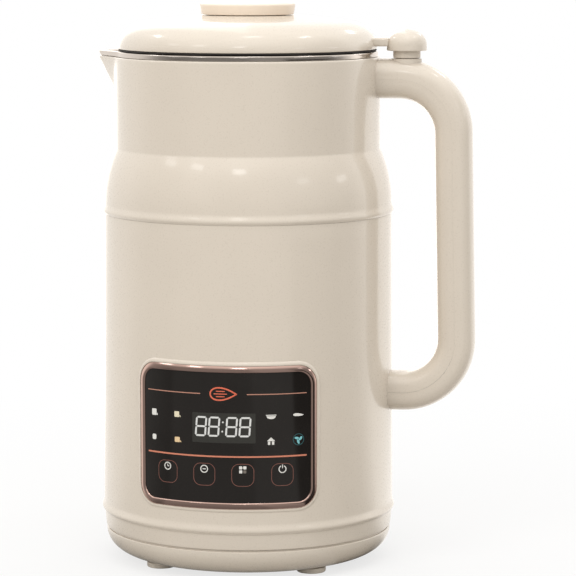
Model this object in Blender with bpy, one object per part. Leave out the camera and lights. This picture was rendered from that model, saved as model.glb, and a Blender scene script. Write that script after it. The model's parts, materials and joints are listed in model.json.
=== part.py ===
# Nut milk maker: a heated jug with a motor and blade under its steel cup, a lift-off lid and a touch panel.
# Metres, +Z up, the panel faces -Y, the handle is at +X and the spout at -X.
import math

import bmesh
import bpy
from mathutils import Matrix

# Clearances and cutting
FIT_GAP = 0.0003
OVERRUN = 0.0020
WELD = 0.000001
CUT_WELD = 0.00001

# Faces round a turned piece
BIG_STEPS = 28
MID_STEPS = 16
SHAFT_STEPS = 12
SMALL_STEPS = 8
TUBE_STEPS = 6
CORNER_STEPS = 3
COLUMNS_PER_RADIUS = 7

# Jug moulding
FOOT_HEIGHT = 0.0028
BASE_HEIGHT = 0.0132
GROOVE_WIDTH = 0.0009
BAND_HEIGHT = 0.0080
BEAD_HEIGHT = 0.0052
BEAD_PROUD = 0.0009
BARREL_BOTTOM_RADIUS = 0.0712
BARREL_TAPER = 0.0009
SHOULDER_ARC = 0.0620
SHOULDER_INSET = 0.0058
NECK_HEIGHT = 0.0444
NECK_EDGE = 0.0010
WALL = 0.0024

# Spout
SPOUT_LENGTH = 0.0095
SPOUT_DROP = 0.0190
SPOUT_HALF_ANGLE = 20.0
SPOUT_TIP_RADIUS = 0.0045
SPOUT_WALL = 0.0016

# Steel cup
CUP_SPACE = 0.0016
CUP_WALL = 0.0008
CUP_DEPTH = 0.1240
CUP_CORNER = 0.0120
RIM_INSET = 0.0011
RIM_HEIGHT = 0.0024
RIM_EDGE = 0.0006
LIP_INSET = 0.0014
SHELL_ANGLE_SHARE = 0.94
POUR_ANGLE_SHARE = 0.88
SEAL_RING_HEIGHT = 0.0050
SEAL_RING_BELOW_SPOUT = 0.0060

# Base cover
BASE_INSET = 0.0012
BASE_CURVE = 0.0145
SPIGOT_HEIGHT = 0.0022
SPIGOT_WALL = 0.0022
VENT_COUNT = 9
VENT_WIDTH = 0.0026
VENT_LENGTH = 0.0150
VENT_INNER_RADIUS = 0.0120

# Base screws and their bosses
BOSS_INSET = 0.0005
BOSS_RADIUS = 0.0045
BOSS_RISE = 0.0025
BOSS_HEIGHT = 0.0087
SCREW_SHANK_RADIUS = 0.0015
SCREW_HEAD_RADIUS = 0.0030
SCREW_HEAD_HEIGHT = 0.0022
SCREW_RECESS = 0.0100
SCREW_ANGLES = (15.0, 165.0, 270.0)

# Feet
FOOT_RADIUS = 0.0070
FOOT_INSET = 0.0035
FOOT_EDGE = 0.0008
FOOT_STEM_RADIUS = 0.0022
FOOT_STEM_HEIGHT = 0.0045

# Touch panel
PANEL_WIDTH = 0.0900
PANEL_HEIGHT = 0.0681
PANEL_RISE = 0.00695
PANEL_CORNER = 0.0065
TRIM_WIDTH = 0.0026
TRIM_PROUD = 0.0011
TRIM_SINK = 0.0010
GLASS_PROUD = 0.0003
GLASS_REST = 0.0010
BORDER_WIDTH = 0.0018
BORDER_PROUD = 0.0007

# Boards behind the panel
BOARD_WIDTH_SHARE = 0.80
BOARD_FOOT_INSET = 0.0041
BOARD_CLEARANCE = 0.0008
BOARD_THICKNESS = 0.0016
DISPLAY_WIDTH_SHARE = 0.56
DISPLAY_HEIGHT = 0.0190
DISPLAY_RISE = 0.0046
KEY_PITCH_SHARE = 0.209
KEY_DROP = 0.0176
TOUCH_PAD_RADIUS = 0.0040

# Power board
POWER_BOARD_INSET = 0.0252
POWER_BOARD_WIDTH = 0.0500
POWER_BOARD_HEIGHT = 0.0600
BOARD_REST_HEIGHT = 0.0040
TRANSFORMER_SIZE = 0.0110
COMPONENT_SHARES = ((1.0, -0.18), (0.8, 0.16), (0.6, -0.1))

# Motor, from the shaft's lower end up to the room under the cup
SHAFT_RADIUS = 0.0040
SHAFT_CLEARANCE = 0.0208
SHAFT_TAIL = 0.0040
FAN_HEIGHT = 0.0070
FAN_RADIUS = 0.0240
FAN_HUB_WALL = 0.0037
FAN_PLATE = 0.0014
FAN_BLADES = 9
FAN_BLADE_THICKNESS = 0.0014
FAN_CLEARANCE = 0.0055
BEARING_WIDTH = 0.0070
BEARING_PROUD = 0.0008
TOP_BEARING_WALL = 0.0080
BOTTOM_BEARING_WALL = 0.0050
HUB_WALL = 0.0032
LEG_WIDTH = 0.0140
LEG_THICKNESS = 0.0050
BAR_THICKNESS = 0.0030
BRUSH_RISE = 0.0020
BRUSH_WIDTH = 0.0066
BRUSH_HEIGHT = 0.0065
BRUSH_LENGTH = 0.0130
COMMUTATOR_WALL = 0.0055
COMMUTATOR_OVERHANG = 0.0010
COIL_CLEARANCE = 0.0005
COIL_END_HEIGHT = 0.0050
COIL_LEG_WIDTH = 0.0042
COIL_INSET = 0.0008
STATOR_SHARE = 0.4354
STATOR_BORE_SHARE = 0.5645
STATOR_HEIGHT = 0.0260
POLE_HALF_ANGLE = 38.0
YOKE_WIDTH = 0.0032
AIR_GAP = 0.0005
ROTOR_SLOTS = 12
ROTOR_SLOT_DEPTH = 0.0050
COIL_ROOM = 0.0069
PLATE_THICKNESS = 0.0030
PLATE_SPACE = 0.0049
DAMPER_HEIGHT = 0.0030
DAMPER_WIDTH = 0.0055
LEDGE_HEIGHT = 0.0028
HEATER_ROOM = 0.0181

# Blade and its bush
SEAL_WALL = 0.0033
SEAL_HEIGHT = 0.0045
BUSH_WALL = 0.0023
BUSH_LENGTH = 0.0130
BUSH_FLANGE_WIDTH = 0.0038
BUSH_FLANGE_HEIGHT = 0.0026
BUSH_NUT_WIDTH = 0.0045
BUSH_NUT_HEIGHT = 0.0040
BLADE_CLEARANCE = 0.0060
BLADE_STUD_STEP = 0.0014
BLADE_STUD_HEIGHT = 0.0068
BLADE_REACH = 0.0265
BLADE_HUB_STEP = 0.0025
BLADE_WIDTH = 0.0100
BLADE_TIP_WIDTH = 0.0052
BLADE_THICKNESS = 0.0014
BLADE_LIFT = 0.0070
BLADE_DIP = 0.0035
BLADE_NUT_WALL = 0.0023
BLADE_NUT_HEIGHT = 0.0076

# Heater and sensors
HEATER_INSET = 0.0185
HEATER_TUBE_RADIUS = 0.0036
HEATER_SWEEP = 300.0
HEATER_TERMINAL_RADIUS = 0.0018
HEATER_TERMINAL_LENGTH = 0.0080
THERMOSTAT_RADIUS = 0.0080
THERMOSTAT_HEIGHT = 0.0060
PROBE_RADIUS = 0.0036
PROBE_HEIGHT = 0.0110

# Handle
ARM_DROP = 0.0006
HANDLE_DEPTH = 0.0195
ARM_THICKNESS = 0.0193
GRIP_THICKNESS = 0.0183
GRIP_REACH = 0.0363
GRIP_SLANT = 1.15
LOWER_ARM_RISE = 0.0544
UPPER_BEND = 0.0265
LOWER_BEND = 0.0255
HANDLE_WALL = 0.0022
HOLLOW_DEPTH = 0.0064
HOLLOW_DRAFT = 0.0015
BEND_STEPS = 7
SOLID_STEPS = 3
SECTION_STEPS = 8
SECTION_SQUARENESS = 2.5
WIRE_RADIUS = 0.0022
WIRE_TO_SCREW = 0.0015
HANDLE_SCREW_LENGTH = 0.0090

# Coupler between lid and handle
COUPLER_REACH = 0.0133
SOCKET_BORE = 0.0053
SOCKET_WALL = 0.0019
SOCKET_DEPTH_SHARE = 0.40
SOCKET_FLOOR = 0.0014
CONTACT_RADIUS = 0.0009
CONTACT_SPREAD = 0.0024
CONTACT_HEIGHT = 0.0050
PLUG_COLLAR_STEP = 0.0013
PLUG_FLANGE_HEIGHT = 0.0040
PLUG_CLEARANCE = 0.0007
DOME_OVERHANG = 0.0026
DOME_DROP = 0.0006
DOME_HEIGHT = 0.0105
DOME_CORNER = 0.0062
DOME_DRAFT = 0.0002
DOME_WALL = 0.0018
BRIDGE_WIDTH = 0.0120
BRIDGE_RISE = 0.0021
BRIDGE_HEIGHT = 0.0041

# Lid
LID_GAP = 0.0011
LID_INSET = 0.0003
LID_SKIRT = 0.0016
LID_SHOULDER_RISE = 0.0090
LID_CROWN_RISE = 0.0024
LID_CONE_RISE = 0.0032
LID_WALL = 0.0021
KNOB_RADIUS = 0.0233
KNOB_TAPER = 0.0009
KNOB_HEIGHT = 0.0054
KNOB_EDGE = 0.0012
KNOB_WALL = 0.0022
KNOB_BOSS_RADIUS = 0.0050
KNOB_PEG_RADIUS = 0.0026
LINER_SPACE = 0.0015
LINER_DEPTH = 0.0078
LINER_WALL = 0.0015
LINER_CORNER = 0.0012
LINER_FLANGE = 0.0018
SEAL_THICKNESS = 0.0005
SEAL_DROP = 0.0040
STEAM_HOLES = 4
STEAM_HOLE_RADIUS = 0.0015
OVERFLOW_CIRCLE = 0.0340
OVERFLOW_RADIUS = 0.0016
OVERFLOW_LENGTH = 0.0290
OVERFLOW_HEAD_RADIUS = 0.0040
OVERFLOW_HEAD_HEIGHT = 0.0024

# Power inlet at the back
INLET_WIDTH = 0.0286
INLET_HEIGHT = 0.0212
INLET_WALL = 0.0020
INLET_RISE = 0.0218
INLET_DEPTH = 0.0180
INLET_BACK = 0.0022
INLET_SINK = 0.0026
INLET_PIN_WIDTH = 0.0020
INLET_PIN_HEIGHT = 0.0042
INLET_PIN_LENGTH = 0.0150
INLET_PIN_PITCH = 0.0140
INLET_EARTH_RISE = 0.0032

# Heights that follow: the base, then the motor, the cup and the jug round them
UNDERSIDE = FOOT_HEIGHT
BASE_FLOOR = UNDERSIDE + WALL
SPLIT = UNDERSIDE + BASE_HEIGHT
LOWER_BEAD = SPLIT + BAND_HEIGHT
BARREL_BOTTOM = LOWER_BEAD + BEAD_HEIGHT
BOSS_JOINT = SPLIT + BOSS_RISE
BOSS_TOP = BOSS_JOINT + BOSS_HEIGHT
SCREW_SEAT = UNDERSIDE + SCREW_RECESS
SHAFT_BOTTOM = BASE_FLOOR + SHAFT_CLEARANCE
FAN_BOTTOM = SHAFT_BOTTOM + SHAFT_TAIL
LOWER_BEARING = FAN_BOTTOM + FAN_HEIGHT + FAN_CLEARANCE + FIT_GAP
BAR_TOP = LOWER_BEARING + BEARING_WIDTH - BEARING_PROUD
BAR_BOTTOM = BAR_TOP - BAR_THICKNESS
COMMUTATOR_BOTTOM = BAR_TOP + BRUSH_RISE
BRUSH_TOP = COMMUTATOR_BOTTOM + BRUSH_HEIGHT
STATOR_BOTTOM = BRUSH_TOP + COIL_CLEARANCE + COIL_END_HEIGHT
STATOR_TOP = STATOR_BOTTOM + STATOR_HEIGHT
PLATE_UNDERSIDE = STATOR_TOP + COIL_END_HEIGHT + COIL_ROOM
PLATE_TOP = PLATE_UNDERSIDE + PLATE_THICKNESS
DAMPER_BOTTOM = PLATE_TOP + FIT_GAP
DAMPER_TOP = DAMPER_BOTTOM + DAMPER_HEIGHT
LEDGE = DAMPER_TOP + FIT_GAP
CUP_FLOOR = PLATE_TOP + HEATER_ROOM
BUSH_TOP = CUP_FLOOR + CUP_WALL + FIT_GAP + BUSH_FLANGE_HEIGHT
BLADE_SEAT = BUSH_TOP + BLADE_CLEARANCE
NECK_TOP = CUP_FLOOR + CUP_DEPTH
CREASE = NECK_TOP - NECK_HEIGHT
SHOULDER = CREASE - math.sqrt(SHOULDER_ARC**2 - (SHOULDER_ARC - SHOULDER_INSET) ** 2)
UPPER_BEAD = SHOULDER - BEAD_HEIGHT
RIM_BOTTOM = NECK_TOP + FIT_GAP
RIM_TOP = RIM_BOTTOM + RIM_HEIGHT
LID_BOTTOM = RIM_TOP + LID_GAP
LID_SKIRT_TOP = LID_BOTTOM + LID_SKIRT
LID_SHOULDER_Z = LID_SKIRT_TOP + LID_SHOULDER_RISE
LID_CROWN_EDGE = LID_SHOULDER_Z + LID_CROWN_RISE
LID_CROWN_TOP = LID_CROWN_EDGE + LID_CONE_RISE
LINER_FLOOR = LID_BOTTOM - LINER_DEPTH
ARM_TOP = NECK_TOP - ARM_DROP
ARM_CENTRE = ARM_TOP - ARM_THICKNESS / 2
LOWER_ARM_CENTRE = BARREL_BOTTOM + LOWER_ARM_RISE
SOCKET_DEPTH = ARM_THICKNESS * SOCKET_DEPTH_SHARE
DOME_BOTTOM = LID_BOTTOM - DOME_DROP
BRIDGE_BOTTOM = DOME_BOTTOM + BRIDGE_RISE
PANEL_CENTRE = BARREL_BOTTOM + PANEL_RISE + PANEL_HEIGHT / 2
BOARD_BOTTOM = BARREL_BOTTOM + PANEL_RISE + BOARD_FOOT_INSET
BOARD_TOP = PLATE_UNDERSIDE - BOARD_CLEARANCE
DISPLAY_CENTRE = PANEL_CENTRE + DISPLAY_RISE
KEY_CENTRE = PANEL_CENTRE - KEY_DROP
INLET_CENTRE = BARREL_BOTTOM + INLET_RISE

# Radii and widths that follow
BARREL_TOP_RADIUS = BARREL_BOTTOM_RADIUS - BARREL_TAPER
SHOULDER_CENTRE = BARREL_TOP_RADIUS - SHOULDER_ARC
NECK_RADIUS = BARREL_TOP_RADIUS - SHOULDER_INSET
SPOUT_REACH = NECK_RADIUS + SPOUT_LENGTH
CUP_RADIUS = NECK_RADIUS - WALL - CUP_SPACE
RIM_RADIUS = NECK_RADIUS - RIM_INSET
LIP_REACH = SPOUT_REACH - LIP_INSET
LID_RADIUS = RIM_RADIUS - LID_INSET
LINER_RADIUS = CUP_RADIUS - CUP_WALL - LINER_SPACE
KNOB_FOOT_RADIUS = KNOB_RADIUS - KNOB_TAPER
STEAM_CIRCLE = (KNOB_BOSS_RADIUS + KNOB_FOOT_RADIUS - KNOB_WALL) / 2
BASE_RADIUS = BARREL_BOTTOM_RADIUS - BASE_INSET
BASE_FLAT_RADIUS = BASE_RADIUS - BASE_CURVE
BOSS_CIRCLE = BASE_FLAT_RADIUS - BOSS_INSET
FOOT_CIRCLE = BASE_FLAT_RADIUS - FOOT_INSET
LEDGE_WIDTH = TRIM_WIDTH + GLASS_REST
BOARD_WIDTH = PANEL_WIDTH * BOARD_WIDTH_SHARE
DISPLAY_WIDTH = PANEL_WIDTH * DISPLAY_WIDTH_SHARE
KEY_PITCH = PANEL_WIDTH * KEY_PITCH_SHARE
POWER_BOARD_X = BARREL_BOTTOM_RADIUS - POWER_BOARD_INSET
SHAFT_BORE = SHAFT_RADIUS + FIT_GAP
STATOR_RADIUS = BARREL_BOTTOM_RADIUS * STATOR_SHARE
STATOR_BORE = STATOR_RADIUS * STATOR_BORE_SHARE
FAN_HUB_RADIUS = SHAFT_BORE + FAN_HUB_WALL
TOP_BEARING_RADIUS = SHAFT_RADIUS + TOP_BEARING_WALL
BOTTOM_BEARING_RADIUS = SHAFT_RADIUS + BOTTOM_BEARING_WALL
COMMUTATOR_RADIUS = SHAFT_RADIUS + COMMUTATOR_WALL
ROTOR_RADIUS = STATOR_BORE - AIR_GAP
PLATE_RADIUS = BARREL_TOP_RADIUS - WALL - PLATE_SPACE
SEAL_RADIUS = SHAFT_BORE + SEAL_WALL
BUSH_RADIUS = SEAL_RADIUS + FIT_GAP + BUSH_WALL
BUSH_FLANGE_RADIUS = BUSH_RADIUS + BUSH_FLANGE_WIDTH
BUSH_NUT_RADIUS = BUSH_RADIUS + FIT_GAP + BUSH_NUT_WIDTH
BLADE_STUD_RADIUS = SHAFT_RADIUS - BLADE_STUD_STEP
BLADE_HUB_RADIUS = SHAFT_RADIUS + BLADE_HUB_STEP
BLADE_NUT_RADIUS = BLADE_STUD_RADIUS + FIT_GAP + BLADE_NUT_WALL
HEATER_CIRCLE = CUP_RADIUS - HEATER_INSET
THERMOSTAT_CIRCLE = (BUSH_NUT_RADIUS + HEATER_CIRCLE - HEATER_TUBE_RADIUS) / 2
GRIP_X = NECK_RADIUS + GRIP_REACH
HANDLE_SCREW_SPREAD = WIRE_RADIUS + WIRE_TO_SCREW + SCREW_SHANK_RADIUS
COUPLER_X = NECK_RADIUS + COUPLER_REACH
SOCKET_RADIUS = SOCKET_BORE + SOCKET_WALL
PLUG_COLLAR_RADIUS = SOCKET_BORE + PLUG_COLLAR_STEP
DOME_RADIUS = SOCKET_RADIUS + DOME_OVERHANG
INLET_OPENING_WIDTH = INLET_WIDTH - 2 * INLET_WALL
INLET_OPENING_HEIGHT = INLET_HEIGHT - 2 * INLET_WALL

# The handle's outer face at the foot of the grip, and the jug's axis, which centres the whole
GRIP_TOP = ARM_CENTRE - UPPER_BEND
GRIP_BOTTOM = LOWER_ARM_CENTRE + LOWER_BEND
GRIP_FOOT_X = GRIP_X + (GRIP_TOP - GRIP_BOTTOM) * math.tan(math.radians(GRIP_SLANT))
HANDLE_REACH = GRIP_FOOT_X + GRIP_THICKNESS / 2
AXIS_X = (SPOUT_REACH - HANDLE_REACH) / 2

# Colour, roughness and metallic value of each finish
FINISHES = {
    "cream_plastic": ((0.84, 0.74, 0.62), 0.22, 0.0),
    "cream_satin": ((0.84, 0.74, 0.62), 0.40, 0.0),
    "knob_plastic": ((0.90, 0.78, 0.66), 0.30, 0.0),
    "cream_rubber": ((0.78, 0.68, 0.57), 0.70, 0.0),
    "grey_rubber": ((0.06, 0.06, 0.06), 0.60, 0.0),
    "clear_silicone": ((0.80, 0.78, 0.74), 0.45, 0.0),
    "steel": ((0.62, 0.61, 0.59), 0.18, 1.0),
    "rose_gold": ((0.78, 0.50, 0.42), 0.20, 1.0),
    "black_glass": ((0.02, 0.02, 0.02), 0.05, 0.0),
    "circuit_board": ((0.03, 0.18, 0.08), 0.50, 0.0),
    "black_plastic": ((0.03, 0.03, 0.03), 0.45, 0.0),
    "white_plastic": ((0.75, 0.74, 0.70), 0.40, 0.0),
    "copper": ((0.72, 0.35, 0.20), 0.35, 1.0),
    "brass": ((0.75, 0.58, 0.30), 0.30, 1.0),
    "lamination": ((0.32, 0.32, 0.33), 0.45, 1.0),
    "carbon": ((0.05, 0.05, 0.05), 0.60, 0.0),
    "zinc_steel": ((0.55, 0.55, 0.56), 0.35, 1.0),
}
SMOOTH_ANGLE = math.radians(35.0)


def finish_material(name, finish):
    colour, roughness, metallic = FINISHES[finish]
    material = bpy.data.materials.new(name)
    material.use_nodes = True
    shader = material.node_tree.nodes["Principled BSDF"]
    shader.inputs["Base Color"].default_value = (*colour, 1)
    shader.inputs["Roughness"].default_value = roughness
    shader.inputs["Metallic"].default_value = metallic
    return material


def place(name, shape, parent):
    bmesh.ops.recalc_face_normals(shape, faces=shape.faces)
    mesh = bpy.data.meshes.new(name)
    shape.to_mesh(mesh)
    shape.free()
    mesh.shade_smooth()
    mesh.set_sharp_from_angle(angle=SMOOTH_ANGLE)
    piece = bpy.data.objects.new(name, mesh)
    bpy.context.scene.collection.objects.link(piece)
    piece.parent = parent
    return piece


def make(name, shape, finish):
    piece = place(name, shape, jug_axis)
    piece.data.materials.append(finish_material(name, finish))
    return piece


def make_at(name, shape, finish, x, y, z):
    piece = make(name, shape, finish)
    piece.location = (x, y, z)
    return piece


def cutter(name, shape):
    bmesh.ops.triangulate(shape, faces=shape.faces[:])
    piece = place(name, shape, jug_axis)
    piece.hide_render = True
    piece.display_type = "WIRE"
    return piece


def combine(piece, tool, operation):
    modifier = piece.modifiers.new(tool.name, "BOOLEAN")
    modifier.operation = operation
    modifier.solver = "EXACT"
    modifier.object = tool


def cut(piece, *tools):
    for tool in tools:
        combine(piece, tool, "DIFFERENCE")


def join(piece, *tools):
    for tool in tools:
        combine(piece, tool, "UNION")


# Turned shapes: a closed profile of (radius, height) points goes once round the Z axis
def turned(profile, steps, start=0):
    shape = bmesh.new()
    sine = math.sin(start)
    cosine = math.cos(start)
    corners = [shape.verts.new((radius * cosine, radius * sine, height)) for radius, height in profile]
    edges = []
    for number in range(len(profile)):
        if profile[number][0] or profile[number - 1][0]:
            edges.append(shape.edges.new((corners[number - 1], corners[number])))
    whole = {"cent": (0, 0, 0), "axis": (0, 0, 1), "angle": math.tau}
    bmesh.ops.spin(shape, geom=corners + edges, steps=steps, use_merge=True, **whole)
    bmesh.ops.remove_doubles(shape, verts=shape.verts, dist=WELD)
    # Flat ends become one face each
    for vert in shape.verts[:]:
        on_axis = math.hypot(vert.co.x, vert.co.y) < WELD
        if on_axis and all(abs(edge.other_vert(vert).co.z - vert.co.z) < WELD for edge in vert.link_edges):
            bmesh.ops.dissolve_verts(shape, verts=[vert])
    return shape


def moved(shape, x=0, y=0, z=0, turn=0):
    matrix = Matrix.Translation((x, y, z)) @ Matrix.Rotation(turn, 4, "Z")
    bmesh.ops.transform(shape, matrix=matrix, verts=shape.verts)
    return shape


def merged(*shapes):
    whole = bmesh.new()
    for shape in shapes:
        part = bpy.data.meshes.new("part")
        shape.to_mesh(part)
        shape.free()
        whole.from_mesh(part)
        bpy.data.meshes.remove(part)
    return whole


def rod(radius, bottom, top, steps=SMALL_STEPS):
    # Turned half a step, so that no corner falls on the seam of what it cuts
    return turned(((0, bottom), (radius, bottom), (radius, top), (0, top)), steps, math.pi / steps)


def ring(inner, outer, bottom, top, steps):
    return turned(((inner, bottom), (outer, bottom), (outer, top), (inner, top)), steps)


def block(x_low, x_high, y_low, y_high, z_low, z_high):
    shape = bmesh.new()
    bmesh.ops.create_cube(shape, size=1)
    size = Matrix.Diagonal((x_high - x_low, y_high - y_low, z_high - z_low, 1))
    middle = Matrix.Translation(((x_low + x_high) / 2, (y_low + y_high) / 2, (z_low + z_high) / 2))
    bmesh.ops.transform(shape, matrix=middle @ size, verts=shape.verts)
    return shape


def across(shape, height):
    # A shape drawn along Z is laid along X, with its axis at the given height
    matrix = Matrix.Translation((0, 0, height)) @ Matrix.Rotation(math.pi / 2, 4, "Y")
    bmesh.ops.transform(shape, matrix=matrix, verts=shape.verts)
    return shape


def prism(outline, bottom, top):
    shape = bmesh.new()
    face = shape.faces.new([shape.verts.new((x, y, bottom)) for x, y in outline])
    raised = bmesh.ops.extrude_face_region(shape, geom=[face])["geom"]
    tops = [item for item in raised if isinstance(item, bmesh.types.BMVert)]
    bmesh.ops.translate(shape, vec=(0, 0, top - bottom), verts=tops)
    return shape


def loft(rings):
    # Rings of the same count of points, bridged in turn and capped at both ends
    shape = bmesh.new()
    loops = []
    for points in rings:
        corners = [shape.verts.new(point) for point in points]
        loops.append([shape.edges.new(pair) for pair in zip(corners, corners[1:] + corners[:1])])
    for lower, upper in zip(loops, loops[1:]):
        bmesh.ops.bridge_loops(shape, edges=lower + upper)
    bmesh.ops.contextual_create(shape, geom=loops[0])
    bmesh.ops.contextual_create(shape, geom=loops[-1])
    return shape


def rounded_rectangle(width, height, radius, steps=CORNER_STEPS):
    points = []
    for quarter, (side, rise) in enumerate(((1, 1), (-1, 1), (-1, -1), (1, -1))):
        x = side * (width / 2 - radius)
        y = rise * (height / 2 - radius)
        for step in range(steps + 1):
            angle = (quarter + step / steps) * math.pi / 2
            points.append((x + radius * math.cos(angle), y + radius * math.sin(angle)))
    return points


# A plate bent round the jug's axis: its width is measured along the arc of bend_radius
def bent_plate(width, height, corner, inner, outer, centre, bend_radius, frame=0, facing=0):
    shape = bmesh.new()
    outline = rounded_rectangle(width, height, corner)
    flat = width / 2 - corner
    columns = math.ceil(2 * flat / bend_radius * COLUMNS_PER_RADIUS)
    cuts = [flat * (2 * column / columns - 1) for column in range(columns + 1)]
    cuts += [x for x, _ in outline if abs(x) > flat + WELD]
    corners = [shape.verts.new((x, -inner, centre + z)) for x, z in outline]
    if frame:
        hole = rounded_rectangle(width - 2 * frame, height - 2 * frame, max(corner - frame, corner / 4))
        cuts += [x for x, _ in hole]
        inside = [shape.verts.new((x, -inner, centre + z)) for x, z in hole]
        loops = [
            shape.edges.new(pair)
            for points in (corners, inside)
            for pair in zip(points, points[1:] + points[:1])
        ]
        bmesh.ops.bridge_loops(shape, edges=loops)
    else:
        shape.faces.new(corners)
    for side in cuts:
        whole = shape.verts[:] + shape.edges[:] + shape.faces[:]
        bmesh.ops.bisect_plane(shape, geom=whole, dist=WELD, plane_co=(side, 0, 0), plane_no=(1, 0, 0))
    raised = bmesh.ops.extrude_face_region(shape, geom=shape.faces[:])["geom"]
    fronts = [item for item in raised if isinstance(item, bmesh.types.BMVert)]
    bmesh.ops.translate(shape, vec=(0, inner - outer, 0), verts=fronts)
    for corner_vert in shape.verts:
        radius = -corner_vert.co.y
        angle = corner_vert.co.x / bend_radius + facing
        corner_vert.co.x = radius * math.sin(angle)
        corner_vert.co.y = -radius * math.cos(angle)
    return shape


# Jug moulding
def barrel_radius(height):
    share = (height - BARREL_BOTTOM) / (SHOULDER - BARREL_BOTTOM)
    return BARREL_BOTTOM_RADIUS + share * (BARREL_TOP_RADIUS - BARREL_BOTTOM_RADIUS)


def bead(bottom, radius):
    # From the top down: a soft upper curve and a short lower step
    return [
        (radius, bottom + BEAD_HEIGHT),
        (radius + BEAD_PROUD * 2 / 3, bottom + BEAD_HEIGHT * 2 / 3),
        (radius + BEAD_PROUD, bottom + BEAD_HEIGHT / 3),
        (radius + BEAD_PROUD * 2 / 3, bottom + BEAD_HEIGHT / 9),
        (radius, bottom),
    ]


def shoulder_arc(inset, steps):
    # From the crease down to the barrel
    points = []
    top_angle = math.acos((NECK_RADIUS - SHOULDER_CENTRE) / SHOULDER_ARC)
    for step in range(steps):
        angle = top_angle * (1 - step / steps)
        radius = SHOULDER_CENTRE + SHOULDER_ARC * math.cos(angle) - inset
        points.append((radius, SHOULDER + SHOULDER_ARC * math.sin(angle)))
    return points


def inner_radius(height):
    return barrel_radius(height) - WALL


def spout_outline(height, reach, half_angle, root, tip):
    # A beak in plan: an arc on the neck, two straight sides and a rounded tip at -X
    points = []
    arc_steps = 5
    for step in range(arc_steps + 1):
        angle = math.pi + half_angle * (2 * step / arc_steps - 1)
        points.append((root * math.cos(angle), root * math.sin(angle), height))
    centre = reach - tip
    ahead = root * math.cos(half_angle) - centre
    aside = root * math.sin(half_angle)
    bearing = math.atan2(aside, -ahead)
    spread = bearing - math.acos(min(1, tip / math.hypot(ahead, aside)))
    tip_steps = 4
    for step in range(tip_steps + 1):
        angle = math.pi - spread * (2 * step / tip_steps - 1) * -1
        points.append((-centre + tip * math.cos(angle), tip * math.sin(angle), height))
    return points


def beak(foot, top, reach, half_angle, root, tip, rise=0):
    # It narrows from the neck's top down to a point at its foot, and may rise above the neck
    levels = 4
    rings = []
    for level in range(levels + 1):
        height = foot + (top + rise - foot) * max(level / levels, 1 / 20)
        share = (height - foot) / (NECK_TOP - foot)
        level_reach = root + (reach - root) * share
        rings.append(spout_outline(height, level_reach, half_angle * share, root, tip * share))
    return loft(rings)


def panel_bend():
    return barrel_radius(PANEL_CENTRE)


def panel_plate(grow, inner, outer):
    width = PANEL_WIDTH + 2 * grow
    height = PANEL_HEIGHT + 2 * grow
    return bent_plate(width, height, PANEL_CORNER + grow, inner, outer, PANEL_CENTRE, panel_bend())


def screw_place(angle):
    turn = math.radians(angle)
    return BOSS_CIRCLE * math.cos(turn), BOSS_CIRCLE * math.sin(turn)


def neck_shell():
    # The upper moulding, with the shoulder and the spout, sits on the barrel under the upper bead
    top_inner = NECK_RADIUS - WALL
    profile = [
        (top_inner, NECK_TOP),
        (NECK_RADIUS - NECK_EDGE, NECK_TOP),
        (NECK_RADIUS - NECK_EDGE / 3, NECK_TOP - NECK_EDGE / 3),
        (NECK_RADIUS, NECK_TOP - NECK_EDGE),
    ]
    profile += shoulder_arc(0, 5)
    profile += bead(UPPER_BEAD, BARREL_TOP_RADIUS)
    profile += [(inner_radius(SHOULDER), UPPER_BEAD), (inner_radius(SHOULDER), SHOULDER)]
    profile += shoulder_arc(WALL, 3)[:0:-1]
    profile += [(top_inner, CREASE - WALL)]
    neck = make("neck_shell", turned(profile, BIG_STEPS), "cream_plastic")

    half_angle = math.radians(SPOUT_HALF_ANGLE)
    beak_top = NECK_TOP - NECK_EDGE / 4
    foot = NECK_TOP - SPOUT_DROP
    spout = beak(foot, beak_top, SPOUT_REACH, half_angle, NECK_RADIUS - WALL / 2, SPOUT_TIP_RADIUS)
    channel = beak(
        foot + WALL,
        NECK_TOP,
        SPOUT_REACH - SPOUT_WALL,
        half_angle,
        NECK_RADIUS - WALL * 2,
        SPOUT_TIP_RADIUS - SPOUT_WALL,
        rise=OVERRUN,
    )
    join(neck, cutter("spout_solid", spout))
    cut(neck, cutter("spout_channel", channel))


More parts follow.
